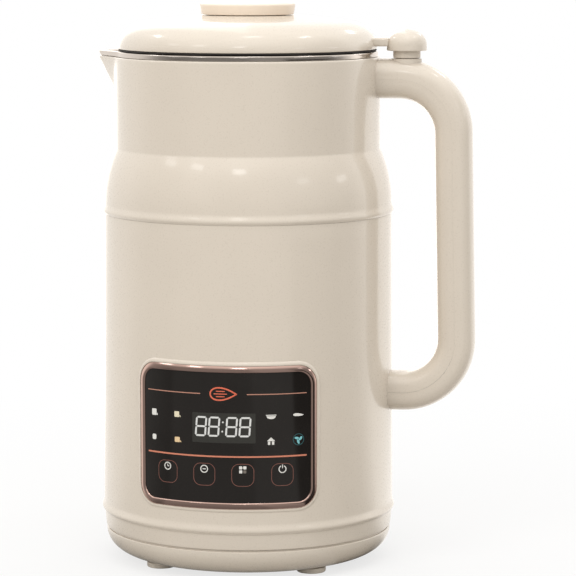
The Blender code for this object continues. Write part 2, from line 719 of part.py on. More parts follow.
def outer_body():
    bottom = SPLIT + GROOVE_WIDTH / 2
    band_radius = (BASE_RADIUS + BARREL_BOTTOM_RADIUS) / 2
    joint = UPPER_BEAD - FIT_GAP
    collar = inner_radius(SHOULDER) - FIT_GAP
    profile = [
        (collar - SPIGOT_WALL, UPPER_BEAD + SPIGOT_HEIGHT),
        (collar, UPPER_BEAD + SPIGOT_HEIGHT),
        (collar, joint),
        (barrel_radius(joint), joint),
    ]
    profile += bead(LOWER_BEAD, BARREL_BOTTOM_RADIUS)
    profile += [(band_radius, bottom), (inner_radius(bottom), bottom)]
    ledge_inner = PLATE_RADIUS - DAMPER_WIDTH
    profile += [
        (inner_radius(LEDGE), LEDGE),
        (ledge_inner, LEDGE),
        (ledge_inner, LEDGE + LEDGE_HEIGHT),
        (inner_radius(LEDGE + LEDGE_HEIGHT), LEDGE + LEDGE_HEIGHT),
    ]
    below = joint - SPIGOT_HEIGHT
    profile += [(inner_radius(below), below - SPIGOT_HEIGHT), (collar - SPIGOT_WALL, below)]
    body = make("outer_body", turned(profile, BIG_STEPS), "cream_plastic")

    bend = panel_bend()
    border = panel_plate(BORDER_WIDTH, bend - WALL / 2, bend + BORDER_PROUD)
    join(body, cutter("panel_border", border))

    pocket = panel_plate(FIT_GAP, bend - TRIM_SINK - FIT_GAP, bend + OVERRUN)
    corner = PANEL_CORNER - LEDGE_WIDTH
    sight = 2 * bend * math.sin((PANEL_WIDTH / 2 - LEDGE_WIDTH) / bend)
    window = prism(rounded_rectangle(sight, PANEL_HEIGHT - 2 * LEDGE_WIDTH, corner), 0, bend + OVERRUN)
    upright = Matrix.Translation((0, 0, PANEL_CENTRE)) @ Matrix.Rotation(math.pi / 2, 4, "X")
    bmesh.ops.transform(window, matrix=upright, verts=window.verts)
    wall_side = inner_radius(BOSS_TOP) + WALL / 2
    outline = [(wall_side, -BOSS_RADIUS), (wall_side, BOSS_RADIUS)]
    for step in range(SMALL_STEPS // 2 + 1):
        angle = math.pi / 2 + math.tau / SMALL_STEPS * step
        outline.append((BOSS_CIRCLE + BOSS_RADIUS * math.cos(angle), BOSS_RADIUS * math.sin(angle)))
    bosses = []
    for angle in SCREW_ANGLES:
        bosses.append(moved(prism(outline, BOSS_JOINT, BOSS_TOP), turn=math.radians(angle)))
    join(body, cutter("screw_bosses", merged(*bosses)))
    x_y = [screw_place(angle) for angle in SCREW_ANGLES]
    hole_radius = SCREW_SHANK_RADIUS + FIT_GAP
    pilots = [moved(rod(hole_radius, BOSS_JOINT - OVERRUN, BOSS_TOP - WALL), x, y) for x, y in x_y]
    half_width = INLET_WIDTH / 2 + FIT_GAP
    half_height = INLET_HEIGHT / 2 + FIT_GAP
    inlet_window = block(
        -half_width,
        half_width,
        inner_radius(INLET_CENTRE) - OVERRUN - WALL,
        barrel_radius(INLET_CENTRE) + OVERRUN,
        INLET_CENTRE - half_height,
        INLET_CENTRE + half_height,
    )
    tools = {
        "panel_pocket": pocket,
        "panel_window": window,
        "boss_pilots": merged(*pilots),
        "inlet_window": inlet_window,
        "handle_wall_holes": handle_holes(),
    }
    cut(body, *[cutter(name, tool) for name, tool in tools.items()])


def handle_holes():
    # Two screw holes and the hole for the wires, through the wall behind the lower arm
    low = inner_radius(LOWER_ARM_CENTRE) - OVERRUN
    high = barrel_radius(LOWER_ARM_CENTRE) + OVERRUN
    holes = [across(rod(WIRE_RADIUS, low, high), LOWER_ARM_CENTRE)]
    for side in (-1, 1):
        screw_hole = rod(SCREW_SHANK_RADIUS + FIT_GAP, low, high)
        holes.append(across(screw_hole, LOWER_ARM_CENTRE + side * HANDLE_SCREW_SPREAD))
    return merged(*holes)


# Steel cup
def inner_cup():
    inside = CUP_RADIUS - CUP_WALL
    floor_top = CUP_FLOOR + CUP_WALL
    hole = BUSH_RADIUS + FIT_GAP
    profile = [(hole, floor_top)]
    corner_steps = 4
    for step in range(corner_steps + 1):
        angle = step / corner_steps * math.pi / 2
        radius = inside - CUP_CORNER + CUP_CORNER * math.sin(angle)
        profile.append((radius, floor_top + CUP_CORNER * (1 - math.cos(angle))))
    profile += [
        (inside, RIM_TOP - RIM_EDGE),
        (inside + RIM_EDGE, RIM_TOP),
        (RIM_RADIUS - RIM_EDGE, RIM_TOP),
        (RIM_RADIUS, RIM_TOP - RIM_EDGE),
        (RIM_RADIUS, RIM_BOTTOM),
        (CUP_RADIUS, RIM_BOTTOM),
    ]
    for step in range(corner_steps + 1):
        angle = (1 - step / corner_steps) * math.pi / 2
        radius = inside - CUP_CORNER + (CUP_CORNER + CUP_WALL) * math.sin(angle)
        profile.append((radius, floor_top + CUP_CORNER - (CUP_CORNER + CUP_WALL) * math.cos(angle)))
    profile.append((hole, CUP_FLOOR))
    cup = make("inner_cup", turned(profile, BIG_STEPS), "steel")

    half_angle = math.radians(SPOUT_HALF_ANGLE)
    lip_top = RIM_TOP - RIM_EDGE / 4
    slope_reach = SPOUT_REACH - SPOUT_WALL - FIT_GAP * 2
    root = CUP_RADIUS - CUP_WALL / 2
    foot = NECK_TOP - SPOUT_DROP + WALL + CUP_WALL * 2
    tip = SPOUT_TIP_RADIUS - SPOUT_WALL - FIT_GAP
    shell = beak(foot, RIM_BOTTOM + FIT_GAP, slope_reach, half_angle * SHELL_ANGLE_SHARE, root, tip)
    lip_outline = spout_outline(RIM_BOTTOM, LIP_REACH, half_angle, root, SPOUT_TIP_RADIUS - WALL / 2)
    lip = prism([(x, y) for x, y, _ in lip_outline], RIM_BOTTOM, lip_top)
    pour = beak(
        foot + CUP_WALL * 2,
        RIM_TOP,
        slope_reach - CUP_WALL,
        half_angle * POUR_ANGLE_SHARE,
        root - CUP_WALL * 2,
        tip - CUP_WALL,
        rise=OVERRUN,
    )
    join(cup, cutter("lip_shell", shell), cutter("lip_plate", lip))
    cut(cup, cutter("pouring_channel", pour))


def cup_seal_ring():
    top = NECK_TOP - SPOUT_DROP - SEAL_RING_BELOW_SPOUT
    inner = CUP_RADIUS + FIT_GAP
    outer = NECK_RADIUS - WALL - FIT_GAP
    make("cup_seal_ring", ring(inner, outer, top - SEAL_RING_HEIGHT, top, BIG_STEPS), "clear_silicone")


# Base cover, its screws and feet
def base_arc(top_radius, floor, steps):
    # From the groove down to the flat underside
    points = []
    top = SPLIT - GROOVE_WIDTH / 2
    for step in range(steps + 1):
        angle = step / steps * math.pi / 2
        radius = BASE_FLAT_RADIUS + (top_radius - BASE_FLAT_RADIUS) * math.cos(angle)
        points.append((radius, top - (top - floor) * math.sin(angle)))
    return points


def base_shell():
    spigot = inner_radius(SPLIT) - FIT_GAP
    spigot_top = SPLIT + SPIGOT_HEIGHT
    outer = [(spigot - SPIGOT_WALL, spigot_top), (spigot, spigot_top), (spigot, SPLIT - GROOVE_WIDTH / 2)]
    inner = base_arc(spigot - SPIGOT_WALL, BASE_FLOOR, 3)
    profile = outer + base_arc(BASE_RADIUS, UNDERSIDE, 5) + [(0, UNDERSIDE), (0, BASE_FLOOR)] + inner[::-1]
    shell = make("base_shell", turned(profile, BIG_STEPS), "cream_plastic")
    places = [screw_place(angle) for angle in SCREW_ANGLES]
    posts = [moved(rod(BOSS_RADIUS, UNDERSIDE + WALL / 2, BOSS_JOINT - FIT_GAP), x, y) for x, y in places]
    recess = SCREW_HEAD_RADIUS + FIT_GAP
    heads = [moved(rod(recess, UNDERSIDE - OVERRUN, SCREW_SEAT), x, y) for x, y in places]
    hole = SCREW_SHANK_RADIUS + FIT_GAP
    shanks = [moved(rod(hole, SCREW_SEAT - OVERRUN, BOSS_JOINT + OVERRUN), x, y) for x, y in places]
    rest = block(
        -POWER_BOARD_X - BOARD_THICKNESS * 3,
        -POWER_BOARD_X + BOARD_THICKNESS * 3,
        -POWER_BOARD_WIDTH / 3,
        POWER_BOARD_WIDTH / 3,
        UNDERSIDE + WALL / 2,
        BASE_FLOOR + BOARD_REST_HEIGHT,
    )
    join(shell, cutter("base_posts", merged(*posts)), cutter("board_rest", rest))
    stems = []
    stem_hole = FOOT_STEM_RADIUS + FIT_GAP
    for x, y in foot_places():
        stems.append(moved(rod(stem_hole, UNDERSIDE - OVERRUN, BASE_FLOOR + OVERRUN), x, y))
    slots = []
    for number in range(VENT_COUNT):
        slot = block(
            VENT_INNER_RADIUS,
            VENT_INNER_RADIUS + VENT_LENGTH,
            -VENT_WIDTH / 2,
            VENT_WIDTH / 2,
            UNDERSIDE - OVERRUN,
            BASE_FLOOR + OVERRUN,
        )
        slots.append(moved(slot, turn=number / VENT_COUNT * math.tau))
    cut(
        shell,
        cutter("screw_heads_cut", merged(*heads)),
        cutter("screw_shanks_cut", merged(*shanks)),
        cutter("foot_holes", merged(*stems)),
        cutter("vent_slots", merged(*slots)),
    )


def foot_places():
    reach = FOOT_CIRCLE * math.sqrt(1 / 2)
    return [(x * reach, y * reach) for x, y in ((-1, -1), (1, -1), (-1, 1), (1, 1))]


def feet():
    top = UNDERSIDE - FIT_GAP
    profile = [
        (0, 0),
        (FOOT_RADIUS - FOOT_EDGE, 0),
        (FOOT_RADIUS, FOOT_EDGE),
        (FOOT_RADIUS, top),
        (FOOT_STEM_RADIUS, top),
        (FOOT_STEM_RADIUS, top + FOOT_STEM_HEIGHT),
        (0, top + FOOT_STEM_HEIGHT),
    ]
    names = ("foot_front_left", "foot_front_right", "foot_rear_left", "foot_rear_right")
    for name, (x, y) in zip(names, foot_places()):
        make_at(name, turned(profile, SMALL_STEPS), "cream_rubber", x, y, 0)


def base_screws():
    seat = SCREW_SEAT - FIT_GAP
    profile = [
        (0, seat - SCREW_HEAD_HEIGHT),
        (SCREW_HEAD_RADIUS, seat - SCREW_HEAD_HEIGHT),
        (SCREW_HEAD_RADIUS, seat),
        (SCREW_SHANK_RADIUS, seat),
        (SCREW_SHANK_RADIUS, BOSS_TOP - WALL - FIT_GAP * 2),
        (0, BOSS_TOP - WALL - FIT_GAP),
    ]
    for number, angle in enumerate(SCREW_ANGLES, 1):
        x, y = screw_place(angle)
        make_at(f"base_screw_{number}", turned(profile, SMALL_STEPS), "zinc_steel", x, y, 0)


# Touch panel
def touch_panel():
    bend = panel_bend()
    floor = bend - TRIM_SINK
    trim = bent_plate(
        PANEL_WIDTH,
        PANEL_HEIGHT,
        PANEL_CORNER,
        floor,
        bend + TRIM_PROUD,
        PANEL_CENTRE,
        bend,
        frame=TRIM_WIDTH,
    )
    make("panel_trim", trim, "rose_gold")
    glass = panel_plate(-TRIM_WIDTH - FIT_GAP, floor, bend + GLASS_PROUD)
    make("panel_glass", glass, "black_glass")


def board_front():
    # The control board's corners meet the round wall
    reach = inner_radius(BOARD_TOP) - FIT_GAP
    return math.sqrt(reach**2 - (BOARD_WIDTH / 2) ** 2)


def behind_glass(half_width):
    # How far forward a flat piece of this half width reaches behind the bent glass
    reach = panel_bend() - TRIM_SINK
    return math.sqrt(reach**2 - half_width**2) - FIT_GAP


def control_electronics():
    front = board_front()
    back = front - BOARD_THICKNESS
    board = block(-BOARD_WIDTH / 2, BOARD_WIDTH / 2, -front, -back, BOARD_BOTTOM, BOARD_TOP)
    make("control_board", board, "circuit_board")
    reach = behind_glass(DISPLAY_WIDTH / 2)
    display = block(
        -DISPLAY_WIDTH / 2,
        DISPLAY_WIDTH / 2,
        -reach,
        -front - FIT_GAP,
        DISPLAY_CENTRE - DISPLAY_HEIGHT / 2,
        DISPLAY_CENTRE + DISPLAY_HEIGHT / 2,
    )
    make("display_module", display, "black_plastic")
    for number, places in enumerate((-3, -1, 1, 3), 1):
        x = places * KEY_PITCH / 2
        reach = behind_glass(abs(x) + TOUCH_PAD_RADIUS)
        pad = rod(TOUCH_PAD_RADIUS, front + FIT_GAP, reach, SMALL_STEPS)
        stand = Matrix.Translation((x, 0, KEY_CENTRE)) @ Matrix.Rotation(math.pi / 2, 4, "X")
        bmesh.ops.transform(pad, matrix=stand, verts=pad.verts)
        make(f"touch_pad_{number}", pad, "carbon")


def power_board():
    bottom = BASE_FLOOR + BOARD_REST_HEIGHT + FIT_GAP
    face = -POWER_BOARD_X - BOARD_THICKNESS
    half = POWER_BOARD_WIDTH / 2
    board = block(face, -POWER_BOARD_X, -half, half, bottom, bottom + POWER_BOARD_HEIGHT)
    piece = make("power_board", board, "circuit_board")
    sink = BOARD_THICKNESS / 2
    step = POWER_BOARD_HEIGHT / 3
    for number, (size_share, y_share) in enumerate(COMPONENT_SHARES, 1):
        size = TRANSFORMER_SIZE * size_share
        y = POWER_BOARD_WIDTH * y_share
        z = bottom + step * (number - 1 / 2)
        component = block(face - size, face + sink, y - size, y + size, z - size / 2, z + size / 2)
        join(piece, cutter(f"component_{number}", component))


# Heater and sensors under the cup
def heater_ring():
    height = CUP_FLOOR - FIT_GAP - HEATER_TUBE_RADIUS
    sweep = math.radians(HEATER_SWEEP)
    shape = bmesh.new()
    turn = Matrix.Translation((HEATER_CIRCLE, 0, height)) @ Matrix.Rotation(math.pi / 2, 4, "X")
    start = bmesh.ops.create_circle(
        shape, cap_ends=True, radius=HEATER_TUBE_RADIUS, segments=TUBE_STEPS, matrix=turn
    )["verts"]
    geom = start + shape.edges[:] + shape.faces[:]
    bmesh.ops.spin(shape, geom=geom, cent=(0, 0, 0), axis=(0, 0, 1), angle=sweep, steps=MID_STEPS)
    heater = make("heater_ring", shape, "steel")
    ends = []
    inset = HEATER_TERMINAL_RADIUS * 2 / HEATER_CIRCLE
    for angle in (inset, sweep - inset):
        terminal = rod(HEATER_TERMINAL_RADIUS, height - HEATER_TUBE_RADIUS - HEATER_TERMINAL_LENGTH, height)
        ends.append(moved(moved(terminal, x=HEATER_CIRCLE), turn=angle))
    join(heater, cutter("heater_terminals", merged(*ends)))
    heater.rotation_euler.z = math.pi / 2 + (math.tau - sweep) / 2


def sensors():
    top = CUP_FLOOR - FIT_GAP
    neck = THERMOSTAT_RADIUS * 2 / 3
    profile = [
        (0, top - THERMOSTAT_HEIGHT),
        (neck, top - THERMOSTAT_HEIGHT),
        (neck, top - THERMOSTAT_HEIGHT / 2),
        (THERMOSTAT_RADIUS, top - THERMOSTAT_HEIGHT / 2),
        (THERMOSTAT_RADIUS, top),
        (0, top),
    ]
    make_at("thermostat", turned(profile, MID_STEPS), "zinc_steel", 0, THERMOSTAT_CIRCLE, 0)
    profile = [
        (0, top - PROBE_HEIGHT),
        (PROBE_RADIUS / 2, top - PROBE_HEIGHT),
        (PROBE_RADIUS, top - PROBE_HEIGHT + PROBE_RADIUS / 2),
        (PROBE_RADIUS, top),
        (0, top),
    ]
    make_at("temperature_probe", turned(profile, SMALL_STEPS), "brass", 0, -THERMOSTAT_CIRCLE, 0)


# Bush that carries the shaft through the cup's floor
def blade_bush():
    top = BUSH_TOP
    flange = top - BUSH_FLANGE_HEIGHT
    bore = SHAFT_BORE
    pocket = SEAL_RADIUS + FIT_GAP
    seat = top - SEAL_HEIGHT - FIT_GAP
    profile = [
        (bore, top - BUSH_LENGTH),
        (BUSH_RADIUS, top - BUSH_LENGTH),
        (BUSH_RADIUS, flange),
        (BUSH_FLANGE_RADIUS, flange),
        (BUSH_FLANGE_RADIUS, top - BUSH_FLANGE_HEIGHT / 2),
        (BUSH_FLANGE_RADIUS - BUSH_FLANGE_HEIGHT / 2, top),
        (pocket, top),
        (pocket, seat),
        (bore, seat),
    ]
    make("blade_bush", turned(profile, MID_STEPS), "brass")
    lip = SEAL_RADIUS / 6
    profile = [
        (bore, seat + FIT_GAP),
        (SEAL_RADIUS, seat + FIT_GAP),
        (SEAL_RADIUS, top),
        (SEAL_RADIUS - lip, top),
        (bore + lip, top - SEAL_HEIGHT / 2),
        (bore, top),
    ]
    make("shaft_seal", turned(profile, MID_STEPS), "grey_rubber")
    nut_top = CUP_FLOOR - FIT_GAP
    nut = ring(BUSH_RADIUS + FIT_GAP, BUSH_NUT_RADIUS, nut_top - BUSH_NUT_HEIGHT, nut_top, 6 * 4)
    for corner in nut.verts:
        # Six flats: the outer points come in to the hexagon's sides
        radius = math.hypot(corner.co.x, corner.co.y)
        if radius > (BUSH_NUT_RADIUS + BUSH_RADIUS) / 2:
            angle = math.atan2(corner.co.y, corner.co.x) % (math.pi / 3) - math.pi / 6
            share = math.cos(math.pi / 6) / math.cos(angle)
            corner.co.x *= share
            corner.co.y *= share
    make("bush_nut", nut, "brass")


# Motor
def motor_plate():
    hub_bottom = PLATE_UNDERSIDE - BEARING_WIDTH - FIT_GAP
    bearing = TOP_BEARING_RADIUS + FIT_GAP
    hole = BUSH_RADIUS + FIT_GAP * 2
    profile = [
        (hole, PLATE_TOP),
        (hole, PLATE_UNDERSIDE),
        (bearing, PLATE_UNDERSIDE),
        (bearing, hub_bottom),
        (bearing + HUB_WALL, hub_bottom),
        (bearing + HUB_WALL, PLATE_UNDERSIDE),
        (PLATE_RADIUS, PLATE_UNDERSIDE),
        (PLATE_RADIUS, PLATE_TOP),
    ]
    plate = make("motor_plate", turned(profile, MID_STEPS), "zinc_steel")
    legs = []
    inside = STATOR_RADIUS + FIT_GAP
    half = LEG_WIDTH / 2
    leg_top = PLATE_TOP - PLATE_THICKNESS / 2
    for side in (-1, 1):
        low, high = sorted((side * inside, side * (inside + LEG_THICKNESS)))
        legs.append(block(-half, half, low, high, BAR_TOP + FIT_GAP, leg_top))
    join(plate, cutter("motor_legs", merged(*legs)))
    ring_inner = PLATE_RADIUS - DAMPER_WIDTH
    damper = ring(ring_inner, PLATE_RADIUS, DAMPER_BOTTOM, DAMPER_TOP, BIG_STEPS)
    make("damper_ring", damper, "grey_rubber")


def bearings():
    bore = SHAFT_BORE
    # The open side is up: a groove between the races
    groove = BEARING_WIDTH / 8
    places = {
        "bearing_top": (TOP_BEARING_RADIUS, PLATE_UNDERSIDE - BEARING_WIDTH - FIT_GAP),
        "bearing_bottom": (BOTTOM_BEARING_RADIUS, LOWER_BEARING),
    }
    for name, (radius, bottom) in places.items():
        top = bottom + BEARING_WIDTH
        inner_race = bore + (radius - bore) / 3
        outer_race = bore + (radius - bore) * 2 / 3
        profile = [
            (bore, bottom),
            (radius, bottom),
            (radius, top),
            (outer_race, top),
            (outer_race, top - groove),
            (inner_race, top - groove),
            (inner_race, top),
            (bore, top),
        ]
        make(name, turned(profile, SHAFT_STEPS), "zinc_steel")


def motor_stator():
    stator = make(
        "motor_stator", ring(STATOR_BORE, STATOR_RADIUS, STATOR_BOTTOM, STATOR_TOP, MID_STEPS), "lamination"
    )
    window_radius = STATOR_RADIUS - YOKE_WIDTH
    middle = (STATOR_BOTTOM + STATOR_TOP) / 2
    window_half = math.pi / 2 - math.radians(POLE_HALF_ANGLE)
    coil_inner = STATOR_BORE + COIL_INSET
    coil_outer = window_radius - FIT_GAP
    bend = (coil_inner + coil_outer) / 2
    pole_half = math.radians(POLE_HALF_ANGLE) * bend + FIT_GAP
    height = STATOR_HEIGHT + 2 * COIL_END_HEIGHT
    coils = {"field_coil_left": -math.pi / 2, "field_coil_right": math.pi / 2}
    for number, (name, facing) in enumerate(coils.items()):
        window = bent_plate(
            2 * window_half * bend,
            STATOR_HEIGHT + 2 * OVERRUN,
            OVERRUN / 2,
            STATOR_BORE / 2,
            window_radius,
            middle,
            bend,
            facing=number * math.pi,
        )
        cut(stator, cutter(f"stator_window_{number + 1}", window))
        coil = bent_plate(
            2 * (pole_half + COIL_LEG_WIDTH),
            height,
            COIL_LEG_WIDTH,
            coil_inner,
            coil_outer,
            middle,
            bend,
            frame=COIL_LEG_WIDTH,
            facing=facing,
        )
        make(name, coil, "copper")


def lower_bracket():
    # A flat bar with a round middle, and a hub under it that holds the lower bearing
    reach = STATOR_RADIUS + FIT_GAP + LEG_THICKNESS
    bearing = BOTTOM_BEARING_RADIUS + FIT_GAP
    middle = bearing + HUB_WALL * 2
    half = LEG_WIDTH / 2
    side = math.acos(half / middle)
    outline = []
    for turn in (0, math.pi):
        for step in range(SMALL_STEPS + 1):
            angle = turn + side * (2 * step / SMALL_STEPS - 1)
            outline.append((middle * math.cos(angle), middle * math.sin(angle)))
        end = math.copysign(1, math.cos(turn))
        outline += [(half * end, reach * end), (-half * end, reach * end)]
    bracket = make("bracket_bottom", prism(outline, BAR_BOTTOM, BAR_TOP), "zinc_steel")
    bottom = LOWER_BEARING - FIT_GAP
    hub = rod(bearing + HUB_WALL, bottom, BAR_TOP - BAR_THICKNESS / 2, MID_STEPS)
    join(bracket, cutter("bracket_hub", hub))
    cut(bracket, cutter("bracket_bore", rod(bearing, bottom - OVERRUN, BAR_TOP + OVERRUN, MID_STEPS)))
    seat = BAR_TOP + FIT_GAP
    tip = COMMUTATOR_RADIUS + FIT_GAP
    for name, side in (("brush_front", -1), ("brush_rear", 1)):
        low, high = sorted((side * tip, side * (tip + BRUSH_LENGTH)))
        brush = block(-BRUSH_WIDTH / 2, BRUSH_WIDTH / 2, low, high, seat, BRUSH_TOP)
        make(name, brush, "carbon")


def on_shaft(profile):
    return turned(profile, SHAFT_STEPS)


def rotor():
    # The shaft's own origin is on its axis, as is every piece that spins with it
    step = BLADE_SEAT
    edge = SHAFT_RADIUS / 8
    profile = [
        (0, SHAFT_BOTTOM),
        (SHAFT_RADIUS - edge, SHAFT_BOTTOM),
        (SHAFT_RADIUS, SHAFT_BOTTOM + edge),
        (SHAFT_RADIUS, step),
        (BLADE_STUD_RADIUS, step),
        (BLADE_STUD_RADIUS, step + BLADE_STUD_HEIGHT),
        (0, step + BLADE_STUD_HEIGHT),
    ]
    make("motor_shaft", on_shaft(profile), "steel")
    bore = SHAFT_BORE
    outline = []
    tooth_shares = (-0.30, -0.30, 0.30, 0.30)
    for number in range(ROTOR_SLOTS):
        for place_share, deep in zip(tooth_shares, (True, False, False, True)):
            angle = (number + place_share) / ROTOR_SLOTS * math.tau
            radius = ROTOR_RADIUS - (ROTOR_SLOT_DEPTH if deep else 0)
            outline.append((radius * math.cos(angle), radius * math.sin(angle)))
    core = make("rotor_core", prism(outline, STATOR_BOTTOM, STATOR_TOP), "lamination")
    cut(core, cutter("rotor_bore", rod(bore, STATOR_BOTTOM - OVERRUN, STATOR_TOP + OVERRUN, SHAFT_STEPS)))
    commutator_top = BRUSH_TOP + COMMUTATOR_OVERHANG
    profile = [
        (bore, COMMUTATOR_BOTTOM),
        (COMMUTATOR_RADIUS, COMMUTATOR_BOTTOM),
        (COMMUTATOR_RADIUS, commutator_top),
        (COMMUTATOR_RADIUS * 2 / 3, STATOR_BOTTOM - FIT_GAP),
        (bore, STATOR_BOTTOM - FIT_GAP),
    ]
    make("commutator", on_shaft(profile), "copper")
    fan_disc = [
        (bore, FAN_BOTTOM),
        (FAN_RADIUS, FAN_BOTTOM),
        (FAN_RADIUS, FAN_BOTTOM + FAN_PLATE),
        (FAN_HUB_RADIUS, FAN_BOTTOM + FAN_PLATE),
        (FAN_HUB_RADIUS, FAN_BOTTOM + FAN_HEIGHT),
        (bore, FAN_BOTTOM + FAN_HEIGHT),
    ]
    fan = make("cooling_fan", turned(fan_disc, MID_STEPS), "black_plastic")
    vanes = []
    for number in range(FAN_BLADES):
        vane = block(
            FAN_HUB_RADIUS + FAN_BLADE_THICKNESS,
            FAN_RADIUS - FAN_BLADE_THICKNESS,
            -FAN_BLADE_THICKNESS / 2,
            FAN_BLADE_THICKNESS / 2,
            FAN_BOTTOM + FAN_PLATE / 2,
            FAN_BOTTOM + FAN_HEIGHT,
        )
        vanes.append(moved(vane, turn=number / FAN_BLADES * math.tau))
    join(fan, cutter("fan_vanes", merged(*vanes)))


def blade():
    # An eight-sided hub: four of its sides grow into wings, two bent up and two bent down
    bottom = BLADE_SEAT + FIT_GAP
    shape = bmesh.new()
    half = BLADE_WIDTH / 2
    corner = BLADE_HUB_RADIUS
    around = [
        (corner, -half), (corner, half), (half, corner), (-half, corner),
        (-corner, half), (-corner, -half), (-half, -corner), (half, -corner),
    ]
    hub = shape.faces.new([shape.verts.new((x, y, bottom)) for x, y in around])
    span = BLADE_REACH - BLADE_HUB_RADIUS
    roots = [edge for edge in hub.edges if abs(edge.calc_length() - BLADE_WIDTH) < BLADE_WIDTH / 100]
    for edge in roots:
        middle = (edge.verts[0].co + edge.verts[1].co) / 2
        ahead = middle.copy()
        ahead.z = 0
        ahead.normalize()
        lift = BLADE_LIFT if abs(ahead.x) > abs(ahead.y) else -BLADE_DIP
        width = BLADE_WIDTH
        wing_shares = ((1 / 3, 0, 1), (2 / 3, 1, BLADE_TIP_WIDTH / BLADE_WIDTH))
        for reach_share, lift_share, width_share in wing_shares:
            next_width = BLADE_WIDTH * width_share
            grown = bmesh.ops.extrude_edge_only(shape, edges=[edge])["geom"]
            edge = [item for item in grown if isinstance(item, bmesh.types.BMEdge) and item.is_boundary
                    and not any(vert in edge.verts for vert in item.verts)][0]
            centre = (edge.verts[0].co + edge.verts[1].co) / 2
            for vert in edge.verts:
                vert.co = centre + (vert.co - centre) * (next_width / width) + ahead * (span * reach_share)
                vert.co.z = bottom + lift * lift_share
            width = next_width
    raised = bmesh.ops.extrude_face_region(shape, geom=shape.faces[:])["geom"]
    tops = [item for item in raised if isinstance(item, bmesh.types.BMVert)]
    bmesh.ops.translate(shape, vec=(0, 0, BLADE_THICKNESS), verts=tops)
    piece = make("blade", shape, "steel")
    hole = rod(BLADE_STUD_RADIUS + FIT_GAP, bottom - OVERRUN, bottom + BLADE_THICKNESS + OVERRUN)
    cut(piece, cutter("blade_hole", hole))
    seat = bottom + BLADE_THICKNESS + FIT_GAP
    top = BLADE_SEAT + BLADE_STUD_HEIGHT
    bore = BLADE_STUD_RADIUS + FIT_GAP
    profile = [
        (bore, seat),
        (BLADE_NUT_RADIUS, seat),
        (BLADE_NUT_RADIUS, top),
        (BLADE_NUT_RADIUS / 2, seat + BLADE_NUT_HEIGHT),
        (0, seat + BLADE_NUT_HEIGHT),
        (0, top + FIT_GAP),
        (bore, top + FIT_GAP),
    ]
    make("blade_nut", turned(profile, SHAFT_STEPS), "steel")


# Handle: a rounded section runs along the arm, the grip and the lower arm
def handle_path():
    slant = math.radians(GRIP_SLANT)
    stations = [(NECK_RADIUS - WALL, ARM_CENTRE, 0, ARM_THICKNESS)]
    centre_x = GRIP_X - UPPER_BEND
    for step in range(BEND_STEPS + 1):
        share = step / BEND_STEPS
        angle = share * (math.pi / 2 - slant)
        thickness = ARM_THICKNESS + share * (GRIP_THICKNESS - ARM_THICKNESS)
        x = centre_x + UPPER_BEND * math.sin(angle)
        stations.append((x, GRIP_TOP + UPPER_BEND * math.cos(angle), angle, thickness))
    centre_x = GRIP_FOOT_X - LOWER_BEND
    for step in range(BEND_STEPS + 1):
        share = step / BEND_STEPS
        angle = math.pi / 2 - slant + share * (math.pi / 2 + slant)
        thickness = GRIP_THICKNESS + share * (ARM_THICKNESS - GRIP_THICKNESS)
        x = centre_x + LOWER_BEND * math.sin(angle)
        stations.append((x, GRIP_BOTTOM + LOWER_BEND * math.cos(angle), angle, thickness))
    stations.append((inner_radius(LOWER_ARM_CENTRE), LOWER_ARM_CENTRE, math.pi, ARM_THICKNESS))
    return stations


def half_section(side, half_width, half_height):
    # A half of a squarish round, seen along the handle: (across, outward) points
    points = []
    power = 2 / SECTION_SQUARENESS
    edge = FIT_GAP / 2
    for step in range(SECTION_STEPS + 1):
        angle = math.pi * step / SECTION_STEPS
        across_share = abs(math.cos(angle)) ** power * math.copysign(1, math.cos(angle))
        out_share = math.sin(angle) ** power if 0 < step < SECTION_STEPS else 0
        points.append((half_width * across_share, side * (edge + (half_height - edge) * out_share)))
    return points


def handle_half(side, first, last):
    # A solid half, then a hollow from one station to another: a rim stays round it and its sides have draft
    stations = handle_path()
    rings = []
    for x, z, angle, thickness in stations:
        section = half_section(side, HANDLE_DEPTH / 2, thickness / 2)
        rings.append([(x + out * math.sin(angle), y, z + out * math.cos(angle)) for y, out in section])
    shape = loft(rings)
    bmesh.ops.recalc_face_normals(shape, faces=shape.faces)
    rim_length = HANDLE_DEPTH * 9 / 10
    parting = []
    for face in shape.faces:
        wide = sum(abs(edge.verts[0].co.y - edge.verts[1].co.y) > rim_length for edge in face.edges)
        if wide == 2 and len(face.verts) == 4:
            parting.append(face)
    parting.sort(key=lambda face: order_on_path(face.calc_center_median(), stations))
    hollow = parting[first:last]
    bmesh.ops.inset_region(shape, faces=hollow, thickness=HANDLE_WALL, use_even_offset=True)
    bmesh.ops.inset_region(
        shape, faces=hollow, thickness=HOLLOW_DRAFT, depth=-HOLLOW_DEPTH, use_even_offset=True
    )
    return shape


def order_on_path(place, stations):
    gaps = [math.hypot(place.x - x, place.z - z) for x, z, _, _ in stations]
    near = [gaps[number] + gaps[number + 1] for number in range(len(gaps) - 1)]
    return near.index(min(near))


def jug_envelope():
    # What the arms stop against: the jug's outside, grown by more than the fit gap
    low = LOWER_ARM_CENTRE - ARM_THICKNESS
    gap = FIT_GAP * 3 / 2
    profile = [
        (0, low),
        (barrel_radius(low) + gap, low),
        (BARREL_TOP_RADIUS + gap, SHOULDER),
        (NECK_RADIUS + gap, CREASE),
        (NECK_RADIUS + gap, ARM_TOP + OVERRUN),
        (0, ARM_TOP + OVERRUN),
    ]
    return turned(profile, BIG_STEPS, math.pi / BIG_STEPS)


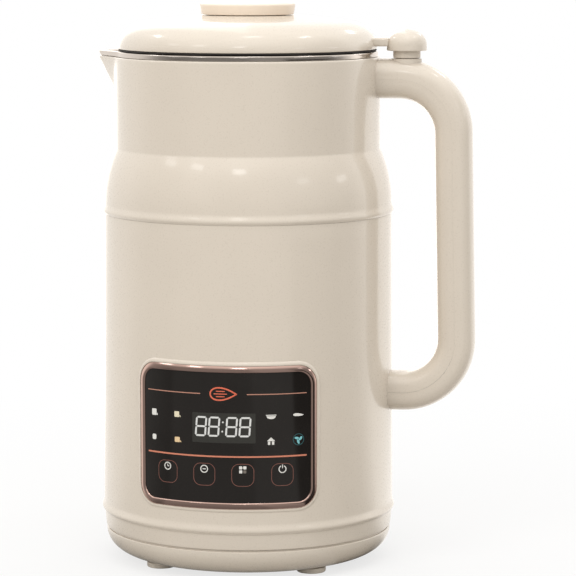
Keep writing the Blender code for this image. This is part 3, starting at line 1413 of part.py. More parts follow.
def handle():
    envelope = cutter("jug_envelope", jug_envelope())
    wire_end = GRIP_X - LOWER_BEND / 2
    wire = cutter("handle_wire_way", across(rod(WIRE_RADIUS, NECK_RADIUS, wire_end), LOWER_ARM_CENTRE))
    socket_floor = ARM_CENTRE - ARM_THICKNESS / 8
    socket_cut = rod(SOCKET_RADIUS + FIT_GAP, socket_floor, ARM_TOP + OVERRUN, SHAFT_STEPS)
    socket_hole = cutter("socket_hole", moved(socket_cut, x=COUPLER_X))
    screw_reach = barrel_radius(LOWER_ARM_CENTRE) + HANDLE_SCREW_LENGTH
    # The screw heads are flat and the wall behind the arm is round
    start = math.sqrt(inner_radius(LOWER_ARM_CENTRE) ** 2 - SCREW_HEAD_RADIUS**2) - FIT_GAP * 2
    last = 2 * BEND_STEPS + 1
    for name, side, first in (("handle_outer", 1, 1 + SOLID_STEPS), ("handle_inner", -1, 1)):
        half = make(name, handle_half(side, first, last), "cream_plastic")
        height = LOWER_ARM_CENTRE - side * HANDLE_SCREW_SPREAD
        pilot_rod = rod(SCREW_SHANK_RADIUS + FIT_GAP, NECK_RADIUS, screw_reach)
        pilot = cutter(f"{name}_pilot", across(pilot_rod, height))
        cut(half, envelope, wire, pilot)
        if side > 0:
            cut(half, socket_hole)
        profile = [
            (0, start - SCREW_HEAD_HEIGHT),
            (SCREW_HEAD_RADIUS, start - SCREW_HEAD_HEIGHT),
            (SCREW_HEAD_RADIUS, start),
            (SCREW_SHANK_RADIUS, start),
            (SCREW_SHANK_RADIUS, screw_reach - FIT_GAP * 2),
            (0, screw_reach - FIT_GAP),
        ]
        number = 1 if side > 0 else 2
        make(f"handle_screw_{number}", across(turned(profile, SMALL_STEPS), height), "zinc_steel")


# Coupler: the lid's plug goes into a socket in the top of the handle
def contact_places():
    return [(-CONTACT_SPREAD, 0), (CONTACT_SPREAD, 0)]


def coupler_socket():
    floor = ARM_TOP - SOCKET_DEPTH
    bottom = floor - SOCKET_FLOOR
    edge = (SOCKET_RADIUS - SOCKET_BORE) / 4
    profile = [
        (0, bottom),
        (SOCKET_RADIUS, bottom),
        (SOCKET_RADIUS, ARM_TOP - edge),
        (SOCKET_RADIUS - edge, ARM_TOP),
        (SOCKET_BORE, ARM_TOP),
        (SOCKET_BORE, floor),
        (0, floor),
    ]
    socket = make_at("coupler_socket", turned(profile, SHAFT_STEPS), "cream_satin", COUPLER_X, 0, 0)
    hole = CONTACT_RADIUS + FIT_GAP
    holes = []
    for x, y in contact_places():
        holes.append(moved(rod(hole, bottom - OVERRUN, floor + OVERRUN), COUPLER_X + x, y))
    cut(socket, cutter("contact_holes", merged(*holes)))
    for number, (x, y) in enumerate(contact_places(), 1):
        pin = [
            (0, bottom),
            (CONTACT_RADIUS, bottom),
            (CONTACT_RADIUS, floor + CONTACT_HEIGHT - CONTACT_RADIUS / 2),
            (CONTACT_RADIUS / 2, floor + CONTACT_HEIGHT),
            (0, floor + CONTACT_HEIGHT),
        ]
        make_at(f"contact_pin_{number}", turned(pin, SMALL_STEPS), "brass", COUPLER_X + x, y, 0)


def coupler_plug():
    collar_bottom = ARM_TOP + FIT_GAP
    tip = ARM_TOP - SOCKET_DEPTH + PLUG_CLEARANCE
    stem = SOCKET_BORE - FIT_GAP
    flange = DOME_RADIUS - DOME_WALL - FIT_GAP
    flange_top = DOME_BOTTOM + PLUG_FLANGE_HEIGHT
    edge = stem / 8
    profile = [
        (0, tip),
        (stem - edge, tip),
        (stem, tip + edge),
        (stem, collar_bottom),
        (PLUG_COLLAR_RADIUS, collar_bottom),
        (PLUG_COLLAR_RADIUS, DOME_BOTTOM),
        (flange, DOME_BOTTOM),
        (flange, flange_top),
        (0, flange_top),
    ]
    plug = make_at("coupler_plug", turned(profile, SHAFT_STEPS), "cream_satin", COUPLER_X, 0, 0)
    hole = CONTACT_RADIUS + FIT_GAP
    holes = [moved(rod(hole, tip - OVERRUN, collar_bottom), COUPLER_X + x, y) for x, y in contact_places()]
    cut(plug, cutter("plug_contact_holes", merged(*holes)))


# Lid
def bent(start, corner, end, steps):
    # A soft corner: a quadratic curve from start to end, drawn towards the corner
    points = []
    for step in range(steps + 1):
        share = step / steps
        weights = ((1 - share) ** 2, 2 * share * (1 - share), share**2)
        radius = sum(weight * point[0] for weight, point in zip(weights, (start, corner, end)))
        height = sum(weight * point[1] for weight, point in zip(weights, (start, corner, end)))
        points.append((radius, height))
    return points


def lid_outline(inset, steps):
    crown_edge = LID_RADIUS * 4 / 5
    start = (LID_RADIUS - inset, LID_SKIRT_TOP)
    corner = (LID_RADIUS - inset - (LID_SHOULDER_Z - LID_SKIRT_TOP) / 5, LID_SHOULDER_Z - inset)
    end = (crown_edge, LID_CROWN_EDGE - inset)
    points = [(LID_RADIUS - inset, LID_BOTTOM)] + bent(start, corner, end, steps)
    points += [(KNOB_RADIUS, LID_CROWN_TOP - inset)]
    return points


def lid_shell():
    hole = KNOB_PEG_RADIUS + FIT_GAP
    outer = lid_outline(0, 6) + [(hole, LID_CROWN_TOP)]
    inner = [(hole, LID_CROWN_TOP - LID_WALL)] + lid_outline(LID_WALL, 3)[::-1]
    lid = make("lid_shell", turned(outer + inner, BIG_STEPS), "cream_plastic")
    arm_root = LID_RADIUS - LID_WALL * 4 / 5
    arm = block(
        arm_root,
        COUPLER_X - DOME_RADIUS + DOME_WALL / 2,
        -BRIDGE_WIDTH / 2,
        BRIDGE_WIDTH / 2,
        BRIDGE_BOTTOM,
        BRIDGE_BOTTOM + BRIDGE_HEIGHT,
    )
    side = DOME_BOTTOM + DOME_HEIGHT - DOME_CORNER
    dome = [(0, DOME_BOTTOM), (DOME_RADIUS, DOME_BOTTOM)]
    dome_top = DOME_BOTTOM + DOME_HEIGHT
    crown_corner = (DOME_RADIUS - DOME_DRAFT * 3, dome_top - DOME_CORNER / 10)
    dome += bent((DOME_RADIUS - DOME_DRAFT, side), crown_corner, (0, dome_top), 6)
    cavity_radius = DOME_RADIUS - DOME_WALL
    cavity = [
        (0, DOME_BOTTOM - OVERRUN),
        (cavity_radius, DOME_BOTTOM - OVERRUN),
        (cavity_radius, DOME_BOTTOM + PLUG_FLANGE_HEIGHT + FIT_GAP),
        (cavity_radius / 2, dome_top - DOME_WALL * 5 / 3),
        (0, dome_top - DOME_WALL * 5 / 3),
    ]
    join(
        lid,
        cutter("coupler_arm", arm),
        cutter("coupler_dome", moved(turned(dome, SHAFT_STEPS), x=COUPLER_X)),
    )
    steam = []
    for number in range(STEAM_HOLES):
        hole_rod = rod(STEAM_HOLE_RADIUS, LID_CROWN_TOP - LID_WALL - OVERRUN, LID_CROWN_TOP + OVERRUN)
        steam.append(moved(moved(hole_rod, x=STEAM_CIRCLE), turn=(number + 1 / 5) / STEAM_HOLES * math.tau))
    cut(
        lid,
        cutter("dome_cavity", moved(turned(cavity, SHAFT_STEPS, math.pi / SHAFT_STEPS), x=COUPLER_X)),
        cutter("steam_holes", merged(*steam)),
    )


def lid_knob():
    # A peg under the knob goes through the lid
    bottom = LID_CROWN_TOP + FIT_GAP
    top = bottom + KNOB_HEIGHT
    tip = LID_CROWN_TOP - LID_WALL - KNOB_PEG_RADIUS
    under = top - KNOB_WALL
    profile = [
        (0, top),
        (0, tip),
        (KNOB_PEG_RADIUS * 3 / 4, tip),
        (KNOB_PEG_RADIUS, bottom),
        (KNOB_BOSS_RADIUS, bottom),
        (KNOB_BOSS_RADIUS, under),
        (KNOB_FOOT_RADIUS - KNOB_WALL, under),
        (KNOB_FOOT_RADIUS - KNOB_WALL, bottom),
        (KNOB_FOOT_RADIUS, bottom),
        (KNOB_RADIUS, top - KNOB_EDGE),
        (KNOB_RADIUS - KNOB_EDGE / 3, top - KNOB_EDGE / 3),
        (KNOB_RADIUS - KNOB_EDGE, top),
    ]
    make("lid_knob", turned(profile, BIG_STEPS), "knob_plastic")


def lid_liner():
    flange = LID_RADIUS - LID_WALL - FIT_GAP
    flange_bottom = LID_BOTTOM + FIT_GAP
    inside = LINER_RADIUS - LINER_WALL
    top = flange_bottom + LINER_FLANGE
    profile = [
        (0, LINER_FLOOR),
        (LINER_RADIUS - LINER_CORNER, LINER_FLOOR),
        (LINER_RADIUS, LINER_FLOOR + LINER_CORNER),
        (LINER_RADIUS, flange_bottom),
        (flange, flange_bottom),
        (flange, top),
        (inside, top),
        (inside, LINER_FLOOR + LINER_WALL),
        (0, LINER_FLOOR + LINER_WALL),
    ]
    liner = make("lid_liner", turned(profile, BIG_STEPS), "white_plastic")
    hole = rod(OVERFLOW_RADIUS + FIT_GAP, LINER_FLOOR - OVERRUN, LINER_FLOOR + LINER_WALL + OVERRUN)
    cut(liner, cutter("overflow_hole", moved(hole, x=OVERFLOW_CIRCLE)))
    inner = LINER_RADIUS + FIT_GAP
    outer = CUP_RADIUS - CUP_WALL - FIT_GAP
    low = RIM_TOP + FIT_GAP
    high = LID_BOTTOM - FIT_GAP
    seal = [
        (inner, low - SEAL_DROP),
        (outer, low - SEAL_DROP + SEAL_THICKNESS),
        (outer, low),
        (LID_RADIUS - FIT_GAP, low),
        (LID_RADIUS - FIT_GAP, high),
        (inner, high),
    ]
    make("lid_seal", turned(seal, BIG_STEPS), "grey_rubber")
    seat = LINER_FLOOR + LINER_WALL + FIT_GAP
    tip = seat - OVERFLOW_LENGTH
    probe = [
        (0, tip),
        (OVERFLOW_RADIUS / 2, tip),
        (OVERFLOW_RADIUS, tip + OVERFLOW_RADIUS / 2),
        (OVERFLOW_RADIUS, seat),
        (OVERFLOW_HEAD_RADIUS, seat),
        (OVERFLOW_HEAD_RADIUS, seat + OVERFLOW_HEAD_HEIGHT),
        (0, seat + OVERFLOW_HEAD_HEIGHT),
    ]
    make_at("overflow_probe", turned(probe, SMALL_STEPS), "steel", OVERFLOW_CIRCLE, 0, 0)


# Power inlet, recessed low at the back
def power_inlet():
    front = barrel_radius(INLET_CENTRE) - INLET_SINK
    back = front - INLET_DEPTH - INLET_BACK
    low = INLET_CENTRE - INLET_HEIGHT / 2
    high = INLET_CENTRE + INLET_HEIGHT / 2
    housing = make(
        "power_inlet", block(-INLET_WIDTH / 2, INLET_WIDTH / 2, back, front, low, high), "black_plastic"
    )
    outline = inlet_outline()
    recess = prism(outline, 0, INLET_DEPTH + OVERRUN)
    stand = Matrix.Translation((0, front + OVERRUN, INLET_CENTRE)) @ Matrix.Rotation(math.pi / 2, 4, "X")
    bmesh.ops.transform(recess, matrix=stand, verts=recess.verts)
    cut(housing, cutter("inlet_recess", recess))
    floor = front - INLET_DEPTH
    places = {
        "inlet_pin_live": (-INLET_PIN_PITCH / 2, -INLET_EARTH_RISE / 2),
        "inlet_pin_earth": (0, INLET_EARTH_RISE),
        "inlet_pin_neutral": (INLET_PIN_PITCH / 2, -INLET_EARTH_RISE / 2),
    }
    slots = []
    half_width = INLET_PIN_WIDTH / 2
    half_height = INLET_PIN_HEIGHT / 2
    rear = back - INLET_BACK
    front = rear + INLET_PIN_LENGTH + INLET_BACK
    for name, (x, z) in places.items():
        z += INLET_CENTRE
        pin = block(x - half_width, x + half_width, rear, front, z - half_height, z + half_height)
        make(name, pin, "brass")
        gap = FIT_GAP
        slots.append(block(
            x - half_width - gap,
            x + half_width + gap,
            rear,
            floor + OVERRUN,
            z - half_height - gap,
            z + half_height + gap,
        ))
    cut(housing, cutter("inlet_pin_slots", merged(*slots)))


def inlet_outline():
    # Two of the six corners are cut off, so that a plug goes in one way
    x = INLET_OPENING_WIDTH / 2
    y = INLET_OPENING_HEIGHT / 2
    chamfer = INLET_OPENING_HEIGHT / 4
    return [(-x, -y), (x, -y), (x, y - chamfer), (x - chamfer, y), (chamfer - x, y), (-x, y - chamfer)]


for old in list(bpy.data.objects):
    bpy.data.objects.remove(old, do_unlink=True)
jug_axis = bpy.data.objects.new("jug_axis", None)
jug_axis.location = (AXIS_X, 0, 0)
bpy.context.scene.collection.objects.link(jug_axis)

outer_body()
neck_shell()
inner_cup()
cup_seal_ring()
base_shell()
feet()
base_screws()
touch_panel()
control_electronics()
power_board()
heater_ring()
sensors()
blade_bush()
motor_plate()
bearings()
motor_stator()
lower_bracket()
rotor()
blade()
handle()
coupler_socket()
coupler_plug()
lid_shell()
lid_knob()
lid_liner()
power_inlet()

# Cut pieces lose the corners that the cuts left almost on top of each other
for piece in bpy.data.objects:
    if piece.modifiers and not piece.hide_render:
        piece.modifiers.new("weld", "WELD").merge_threshold = CUT_WELD
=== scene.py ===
# %% [markdown]
# # A nut milk maker
#
# This lesson dresses a countertop nut milk maker: a tall cream jug that heats and grinds nuts in water. Its
# solids come from a CAD model that never moves. We open that model as a fixed frame, build smoother and more
# detailed pieces over it, and give every piece a finish made of nodes. All lengths below are in millimetres
# until a shape is made, because that is how a maker would read them off a drawing.

# %% Open the frame
import json
import math

import bmesh
import bpy
from mathutils import Matrix, Vector


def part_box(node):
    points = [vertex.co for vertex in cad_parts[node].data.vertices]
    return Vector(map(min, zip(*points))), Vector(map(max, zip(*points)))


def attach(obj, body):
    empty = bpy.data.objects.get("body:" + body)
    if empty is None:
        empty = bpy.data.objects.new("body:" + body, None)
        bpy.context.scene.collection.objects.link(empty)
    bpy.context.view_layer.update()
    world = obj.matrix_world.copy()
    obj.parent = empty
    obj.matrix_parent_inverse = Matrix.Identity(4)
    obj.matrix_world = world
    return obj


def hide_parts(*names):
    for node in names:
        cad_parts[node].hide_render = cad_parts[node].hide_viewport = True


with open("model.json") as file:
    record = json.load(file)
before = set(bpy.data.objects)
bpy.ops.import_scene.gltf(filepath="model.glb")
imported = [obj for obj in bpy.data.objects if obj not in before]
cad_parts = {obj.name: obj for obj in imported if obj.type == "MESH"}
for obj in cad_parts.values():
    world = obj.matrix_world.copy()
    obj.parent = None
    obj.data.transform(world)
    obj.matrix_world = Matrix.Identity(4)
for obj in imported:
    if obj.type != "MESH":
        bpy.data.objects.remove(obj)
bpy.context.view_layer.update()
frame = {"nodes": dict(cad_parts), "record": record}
MM = 0.001

# %% [markdown]
# ## Where the jug stands
#
# The jug is round, and the handle and spout stick out of it by different amounts, so its axis isn't in the
# middle of the whole. The motor shaft stands on that axis, so the frame's own box for the shaft tells us
# where it is. Every turned piece is made around x = 0 and then moved there.

# %% Find the jug's axis
def edge_of(node, axis, side):
    """One side of a CAD node's box in mm: axis 0, 1 or 2, side 0 for low and 1 for high."""
    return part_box(node)[side][axis] / MM


def middle_of(node):
    return [(edge_of(node, axis, 0) + edge_of(node, axis, 1)) / 2 for axis in (0, 1, 2)]


AXIS_X = middle_of("motor_shaft")[0]
BASE_HEIGHT = 13.2
BAND_HEIGHT = 8.0
BEAD_HEIGHT = 5.2
UNDERSIDE = edge_of("base_shell", 2, 0)
SPLIT = UNDERSIDE + BASE_HEIGHT
LOWER_BEAD = SPLIT + BAND_HEIGHT
BARREL_BOTTOM = LOWER_BEAD + BEAD_HEIGHT
UPPER_BEAD = edge_of("neck_shell", 2, 0)
SHOULDER = UPPER_BEAD + BEAD_HEIGHT
NECK_TOP = edge_of("neck_shell", 2, 1)
NECK_RADIUS = 64.5
BARREL_TOP_RADIUS = 70.3
BARREL_BOTTOM_RADIUS = 71.2
heights = {"underside": UNDERSIDE, "split": SPLIT, "upper bead": UPPER_BEAD, "neck top": NECK_TOP}
print("Axis at x =", round(AXIS_X, 2), {name: round(value, 2) for name, value in heights.items()})

# %% [markdown]
# ## Finishes
#
# Moulded plastic is never one flat colour: the pigment clouds a little, the gloss changes with it, and a
# mould leaves a very fine unevenness that breaks up reflections. We could paint images for this, but noise
# textures on object coordinates keep the same scale on every piece and need no files. One function builds all
# of the plain finishes: two noises, one broad for colour and one fine for gloss and bump. Colours are given
# as a screen shows them, and turned into the linear values that a shader wants.

# %% A finish made of two noises
def linear(red, green, blue):
    shares = [value / 255 for value in (red, green, blue)]
    return [share / 12.92 if share <= 0.04045 else ((share + 0.055) / 1.055) ** 2.4 for share in shares]


def link_noise(tree, vector, scale, detail, distortion=0.0):
    noise = tree.nodes.new("ShaderNodeTexNoise")
    noise.inputs["Scale"].default_value = scale
    noise.inputs["Detail"].default_value = detail
    noise.inputs["Distortion"].default_value = distortion
    tree.links.new(vector, noise.inputs["Vector"])
    return noise.outputs["Fac"]


def link_range(tree, value, low, high, start=0.3, end=0.7):
    mapped = tree.nodes.new("ShaderNodeMapRange")
    for name, number in (("From Min", start), ("From Max", end), ("To Min", low), ("To Max", high)):
        mapped.inputs[name].default_value = number
    tree.links.new(value, mapped.inputs["Value"])
    return mapped.outputs["Result"]


def link_colours(tree, share, first, second):
    mix = tree.nodes.new("ShaderNodeMix")
    mix.data_type = "RGBA"
    for name, colour in (("A", first), ("B", second)):
        if isinstance(colour, bpy.types.NodeSocket):
            tree.links.new(colour, mix.inputs[name])
        else:
            mix.inputs[name].default_value = (*colour, 1)
    tree.links.new(share, mix.inputs["Factor"])
    return mix.outputs["Result"]


def link_bump(tree, shader, height, distance):
    bump = tree.nodes.new("ShaderNodeBump")
    bump.inputs["Distance"].default_value = distance
    bump.inputs["Strength"].default_value = 1.0
    tree.links.new(height, bump.inputs["Height"])
    tree.links.new(bump.outputs["Normal"], shader.inputs["Normal"])


def new_finish(name, metallic=0.0, coat=0.0, coat_roughness=0.05):
    """A new material: itself, its nodes, its shader and the socket for the place on the object."""
    material = bpy.data.materials.new(name)
    material.use_nodes = True
    tree = material.node_tree
    shader = tree.nodes["Principled BSDF"]
    for socket, value in (("Metallic", metallic), ("Coat Weight", coat), ("Coat Roughness", coat_roughness)):
        shader.inputs[socket].default_value = value
    return material, tree, shader, tree.nodes.new("ShaderNodeTexCoord").outputs["Object"]


CLOUD_SCALE = 28
GLOSS_CHANGE = 0.15


def plain_finish(name, colour, roughness, metallic=0.0, coat=0.0, cloud=0.02, grain=1400, bump=0.004):
    """Cloudy colour from a broad noise; gloss and a fine unevenness from a small one."""
    material, tree, shader, place = new_finish(name, metallic, coat, 0.08)
    base = linear(*colour)
    broad = link_range(tree, link_noise(tree, place, CLOUD_SCALE, 3), 0, 1)
    darker = [value * (1 - cloud) for value in base]
    lighter = [min(1, value * (1 + cloud)) for value in base]
    tree.links.new(link_colours(tree, broad, darker, lighter), shader.inputs["Base Color"])
    fine = link_noise(tree, place, grain, 2)
    low, high = roughness * (1 - GLOSS_CHANGE), roughness * (1 + GLOSS_CHANGE)
    tree.links.new(link_range(tree, fine, low, high), shader.inputs["Roughness"])
    link_bump(tree, shader, fine, bump * MM)
    return material


finishes = {
    "cream_plastic": plain_finish(
        "cream_gloss_plastic", (218, 207, 192), 0.30, coat=0.9, cloud=0.012, bump=0.001),
    "cream_satin": plain_finish("cream_satin_plastic", (216, 205, 190), 0.42, cloud=0.015),
    "knob_plastic": plain_finish("peach_satin_plastic", (242, 226, 207), 0.34, cloud=0.015),
    "cream_rubber": plain_finish("cream_rubber", (222, 212, 198), 0.75, cloud=0.04, grain=2600, bump=0.02),
    # The seal's rubber is painted dark: painted shade for the thin gap between the lid and the steel rim.
    "grey_rubber": plain_finish("seal_rubber_dark_as_gap_shade", (46, 42, 40), 0.62, cloud=0.08, grain=2200, bump=0.02),
    "clear_silicone": plain_finish(
        "milky_silicone", (214, 210, 200), 0.45, cloud=0.04, grain=1800, bump=0.01),
    "black_plastic": plain_finish(
        "black_moulded_plastic", (38, 37, 37), 0.48, cloud=0.06, grain=2400, bump=0.02),
    "white_plastic": plain_finish("white_food_plastic", (226, 223, 214), 0.40),
    "carbon": plain_finish("pressed_carbon", (52, 51, 52), 0.60, cloud=0.15, grain=4200, bump=0.02),
}
print("Plain finishes:", len(finishes))

# %% [markdown]
# ## Metals
#
# The steel cup is polished on a lathe, which leaves hair-fine rings. If the noise is given the distance from
# the axis and the height instead of x, y and z, it can't change around the axis, so it draws exactly those
# rings. A little of the ordinary noise clouds the colour, because a real polish is never perfect. The same
# recipe, with other colours and ring sizes, serves the brass, the copper, the zinc-plated parts and the
# motor's stacked steel.

# %% Metals with turned rings
def link_vectors(tree, operation, first, second=None, result="Vector"):
    step = tree.nodes.new("ShaderNodeVectorMath")
    step.operation = operation
    tree.links.new(first, step.inputs[0])
    if second is not None:
        step.inputs[1].default_value = second
    return step.outputs[result]


RING_BUMP = 0.002


def turned_finish(name, colour, roughness, ring_scale=2700, centre=AXIS_X, change=0.35, cloud=0.06):
    material, tree, shader, place = new_finish(name, metallic=1.0)
    nodes, links = tree.nodes, tree.links
    shifted = nodes.new("ShaderNodeMapping")
    shifted.inputs["Location"].default_value = (-centre * MM, 0, 0)
    links.new(place, shifted.inputs["Vector"])
    flat = link_vectors(tree, "MULTIPLY", shifted.outputs["Vector"], (1, 1, 0))
    parts = nodes.new("ShaderNodeSeparateXYZ")
    links.new(place, parts.inputs["Vector"])
    rings = nodes.new("ShaderNodeCombineXYZ")
    links.new(link_vectors(tree, "LENGTH", flat, result="Value"), rings.inputs["X"])
    links.new(parts.outputs["Z"], rings.inputs["Z"])
    hair = link_noise(tree, rings.outputs["Vector"], ring_scale, 4)
    broad = link_range(tree, link_noise(tree, place, 60, 3, 0.4), 0, 1)
    base = linear(*colour)
    darker = [value * (1 - cloud) for value in base]
    links.new(link_colours(tree, broad, darker, base), shader.inputs["Base Color"])
    low, high = roughness * (1 - change), roughness * (1 + change)
    links.new(link_range(tree, hair, low, high), shader.inputs["Roughness"])
    link_bump(tree, shader, hair, RING_BUMP * MM)
    return material


finishes["steel"] = turned_finish("polished_cup_steel", (206, 199, 193), 0.18)
finishes["brass"] = turned_finish("turned_brass", (214, 178, 112), 0.30)
finishes["copper"] = turned_finish("lacquered_copper", (205, 126, 88), 0.38, ring_scale=4500)
finishes["zinc_steel"] = turned_finish(
    "zinc_plated_steel", (176, 177, 180), 0.36, ring_scale=1500, cloud=0.15
)
finishes["lamination"] = turned_finish(
    "stacked_motor_steel", (122, 122, 126), 0.45, ring_scale=2100, change=0.2
)
finishes["rose_gold"] = plain_finish(
    "rose_gold_plating", (214, 184, 174), 0.12, metallic=1.0, cloud=0.03, grain=900, bump=0.002
)
print("Metals added, finishes:", len(finishes))

# %% [markdown]
# ## Black glass and circuit board
#
# The touch panel is one sheet of black glass: nearly black inside, with a hard clean reflection on its face.
# Its faint waviness comes from a broad noise in the bump. The circuit board's green lacquer shows copper
# tracks, so a brick texture draws thin lines under it.

# %% Glass and board
def glass_finish():
    material, tree, shader, place = new_finish("black_panel_glass")
    smudge = link_noise(tree, place, 35, 4, 0.6)
    colours = link_colours(tree, link_range(tree, smudge, 0, 1), linear(30, 27, 25), linear(35, 32, 30))
    tree.links.new(colours, shader.inputs["Base Color"])
    tree.links.new(link_range(tree, smudge, 0.05, 0.12), shader.inputs["Roughness"])
    link_bump(tree, shader, smudge, 0.004 * MM)
    return material


def board_finish():
    material, tree, shader, place = new_finish("green_circuit_board", coat=0.3)
    tracks = tree.nodes.new("ShaderNodeTexBrick")
    tracks.inputs["Scale"].default_value = 300
    tracks.inputs["Mortar Size"].default_value = 0.03
    for name, colour in (("Color1", (22, 92, 52)), ("Color2", (28, 104, 60)), ("Mortar", (120, 150, 90))):
        tracks.inputs[name].default_value = (*linear(*colour), 1)
    tree.links.new(place, tracks.inputs["Vector"])
    tree.links.new(tracks.outputs["Color"], shader.inputs["Base Color"])
    fine = link_noise(tree, place, 900, 2)
    tree.links.new(link_range(tree, fine, 0.35, 0.5), shader.inputs["Roughness"])
    link_bump(tree, shader, tracks.outputs["Fac"], -0.03 * MM)
    return material


finishes["black_glass"] = glass_finish()
finishes["circuit_board"] = board_finish()
print("All finishes:", sorted(finishes))

# %% [markdown]
# ## Dressing the frame
#
# Every CAD node gets its finish first, by the slot that the record gives it. Pieces that stay hidden inside,
# such as the motor, keep their CAD shape. The pieces that we see are replaced one by one below.

# %% Give every CAD node its finish
for entry in frame["record"]["subparts"]:
    mesh = frame["nodes"][entry["node"]].data
    mesh.materials.clear()
    mesh.materials.append(finishes[entry["material_slot"]])

# %% [markdown]
# ## Turned pieces
#
# Most of this machine was drawn with a pencil and a lathe: cup, lid, knob, base, even the jug. So the main
# tool is a half outline that `bmesh.ops.spin` sweeps round the axis. The outline's sharp corners are softened
# before the spin, by a short curve between two points on either side of the corner, which is cheaper and
# cleaner than bevelling the finished mesh. Each corner is (radius, height, softening). A helper then turns
# the mesh into a piece that rides on its body and stands for its CAD node.

# %% Outlines, spins and pieces
def curve(start, corner, end, steps):
    """A bend from start to end that is drawn towards the corner between them."""
    start, corner, end = Vector(start), Vector(corner), Vector(end)
    shares = [step / steps for step in range(steps + 1)]
    return [start * (1 - share) ** 2 + corner * 2 * share * (1 - share) + end * share**2 for share in shares]


def softened(corners, steps=4):
    points = []
    for number, (radius, height, softening) in enumerate(corners):
        here = Vector((radius, height))
        if not softening:
            points.append(here)
            continue
        before = Vector(corners[number - 1][:2]) - here
        after = Vector(corners[(number + 1) % len(corners)][:2]) - here
        start, end = here + before.normalized() * softening, here + after.normalized() * softening
        points += curve(start, here, end, steps)
    return points


def turned(points, steps=128, x=AXIS_X, y=0.0):
    shape = bmesh.new()
    corners = [shape.verts.new((point[0] * MM, 0, point[1] * MM)) for point in points]
    for first, second in zip(corners, corners[1:] + corners[:1]):
        if first.co.x or second.co.x:
            shape.edges.new((first, second))
    whole = shape.verts[:] + shape.edges[:]
    bmesh.ops.spin(
        shape, geom=whole, cent=(0, 0, 0), axis=(0, 0, 1), angle=math.tau, steps=steps, use_merge=True
    )
    bmesh.ops.remove_doubles(shape, verts=shape.verts, dist=0.001 * MM)
    bmesh.ops.translate(shape, verts=shape.verts, vec=(x * MM, y * MM, 0))
    return shape


def add_object(name, data):
    item = bpy.data.objects.new(name, data)
    bpy.context.scene.collection.objects.link(item)
    return item


def put_in_order(shape):
    """Sorts corners, edges and faces by their place, because some operators leave them in a chance order."""
    def corner_numbers(item):
        return sorted(corner.index for corner in item.verts)

    def sort_by(sequence, place_of):
        ranks = {item: rank for rank, item in enumerate(sorted(sequence, key=place_of))}
        sequence.sort(key=ranks.get)
        sequence.index_update()

    sort_by(shape.verts, lambda corner: tuple(corner.co))
    sort_by(shape.edges, corner_numbers)
    sort_by(shape.faces, corner_numbers)


def mesh_from(name, shape):
    """Turns the faces outwards and keeps the shape as a mesh."""
    put_in_order(shape)
    bmesh.ops.recalc_face_normals(shape, faces=shape.faces)
    mesh = bpy.data.meshes.new(name)
    shape.to_mesh(mesh)
    shape.free()
    return mesh


SHARP_ANGLE = 38


def dress(name, shape, slot, body, *nodes, finish=None, sharp=SHARP_ANGLE):
    mesh = mesh_from(name, shape)
    mesh.shade_smooth()
    mesh.set_sharp_from_angle(angle=math.radians(sharp))
    mesh.materials.append(finish or finishes[slot])
    piece = add_object(name, mesh)
    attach(piece, body)
    if nodes:
        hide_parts(*nodes)
    size = [round(value / MM, 1) for value in piece.dimensions]
    print(f"{name}: {len(mesh.polygons)} faces, {size} mm")
    return piece


# %% [markdown]
# ## The barrel
#
# The barrel is the tall cream wall from the groove above the base up to the bead under the shoulder. It
# tapers by under a millimetre, which we keep, because a perfectly straight side looks dead. Beads are the two
# raised bands. Each swells softly from above and ends in a crisp edge below. A sine of a skewed share gives
# that shape.

# %% Barrel and bead outlines
BEAD_PROUD = 0.9
BEAD_SKEW = 1.8
BEAD_STEPS = 16
BEAD_END = 0.95


def barrel_radius(height):
    share = (height - BARREL_BOTTOM) / (SHOULDER - BARREL_BOTTOM)
    return BARREL_BOTTOM_RADIUS + share * (BARREL_TOP_RADIUS - BARREL_BOTTOM_RADIUS)


def bead(bottom, radius):
    """A soft swell from above that ends in a small rounded edge below."""
    points = []
    for step in range(BEAD_STEPS + 1):
        share = step / BEAD_STEPS * BEAD_END
        swell = math.sin(math.pi * share**BEAD_SKEW)
        points.append((radius + BEAD_PROUD * swell, bottom + BEAD_HEIGHT * (1 - share)))
    edge, height = points[-1]
    under = [(edge, height, 0), (edge - 0.03, bottom + 0.03, 0.12), (radius - 0.3, bottom, 0)]
    return points + softened(under)[1:]


def stepped(radius_at, top, bottom, gap):
    count = max(1, round((top - bottom) / gap))
    heights = [top + (bottom - top) * number / count for number in range(count + 1)]
    return [(radius_at(height), height) for height in heights]


LEDGE_BOTTOM = edge_of("damper_ring", 2, 1) + 0.3
LEDGE_TOP = LEDGE_BOTTOM + 2.8
LEDGE_INSIDE = 57.5
LAP_INSIDE = 65.5
LAP_TOP = UPPER_BEAD + 2.2
WALL_INSIDE = 67.9
BARREL_TOP = UPPER_BEAD - 0.05
GROOVE_TOP = SPLIT + 0.2
barrel_outline = [(LAP_INSIDE, LAP_TOP), (67.4, LAP_TOP)]
barrel_outline += softened([(67.6, BARREL_TOP, 0), (barrel_radius(UPPER_BEAD), BARREL_TOP, 0.1),
                            (barrel_radius(UPPER_BEAD - 9), UPPER_BEAD - 9, 0)])
barrel_outline += stepped(barrel_radius, UPPER_BEAD - 10, BARREL_BOTTOM + 1.5, 2.4)
barrel_outline += bead(LOWER_BEAD, BARREL_BOTTOM_RADIUS)
barrel_outline += softened([(70.9, LOWER_BEAD - 0.15, 0), (70.5, SPLIT + 2.4, 0.6), (70.3, GROOVE_TOP, 0.5),
                            (68.2, GROOVE_TOP, 0)])
barrel_outline += [(68.4, LEDGE_BOTTOM), (LEDGE_INSIDE, LEDGE_BOTTOM), (LEDGE_INSIDE, LEDGE_TOP),
                   (68.1, LEDGE_TOP), (WALL_INSIDE, UPPER_BEAD - 4), (LAP_INSIDE, UPPER_BEAD - 2)]
print("Barrel outline points:", len(barrel_outline))

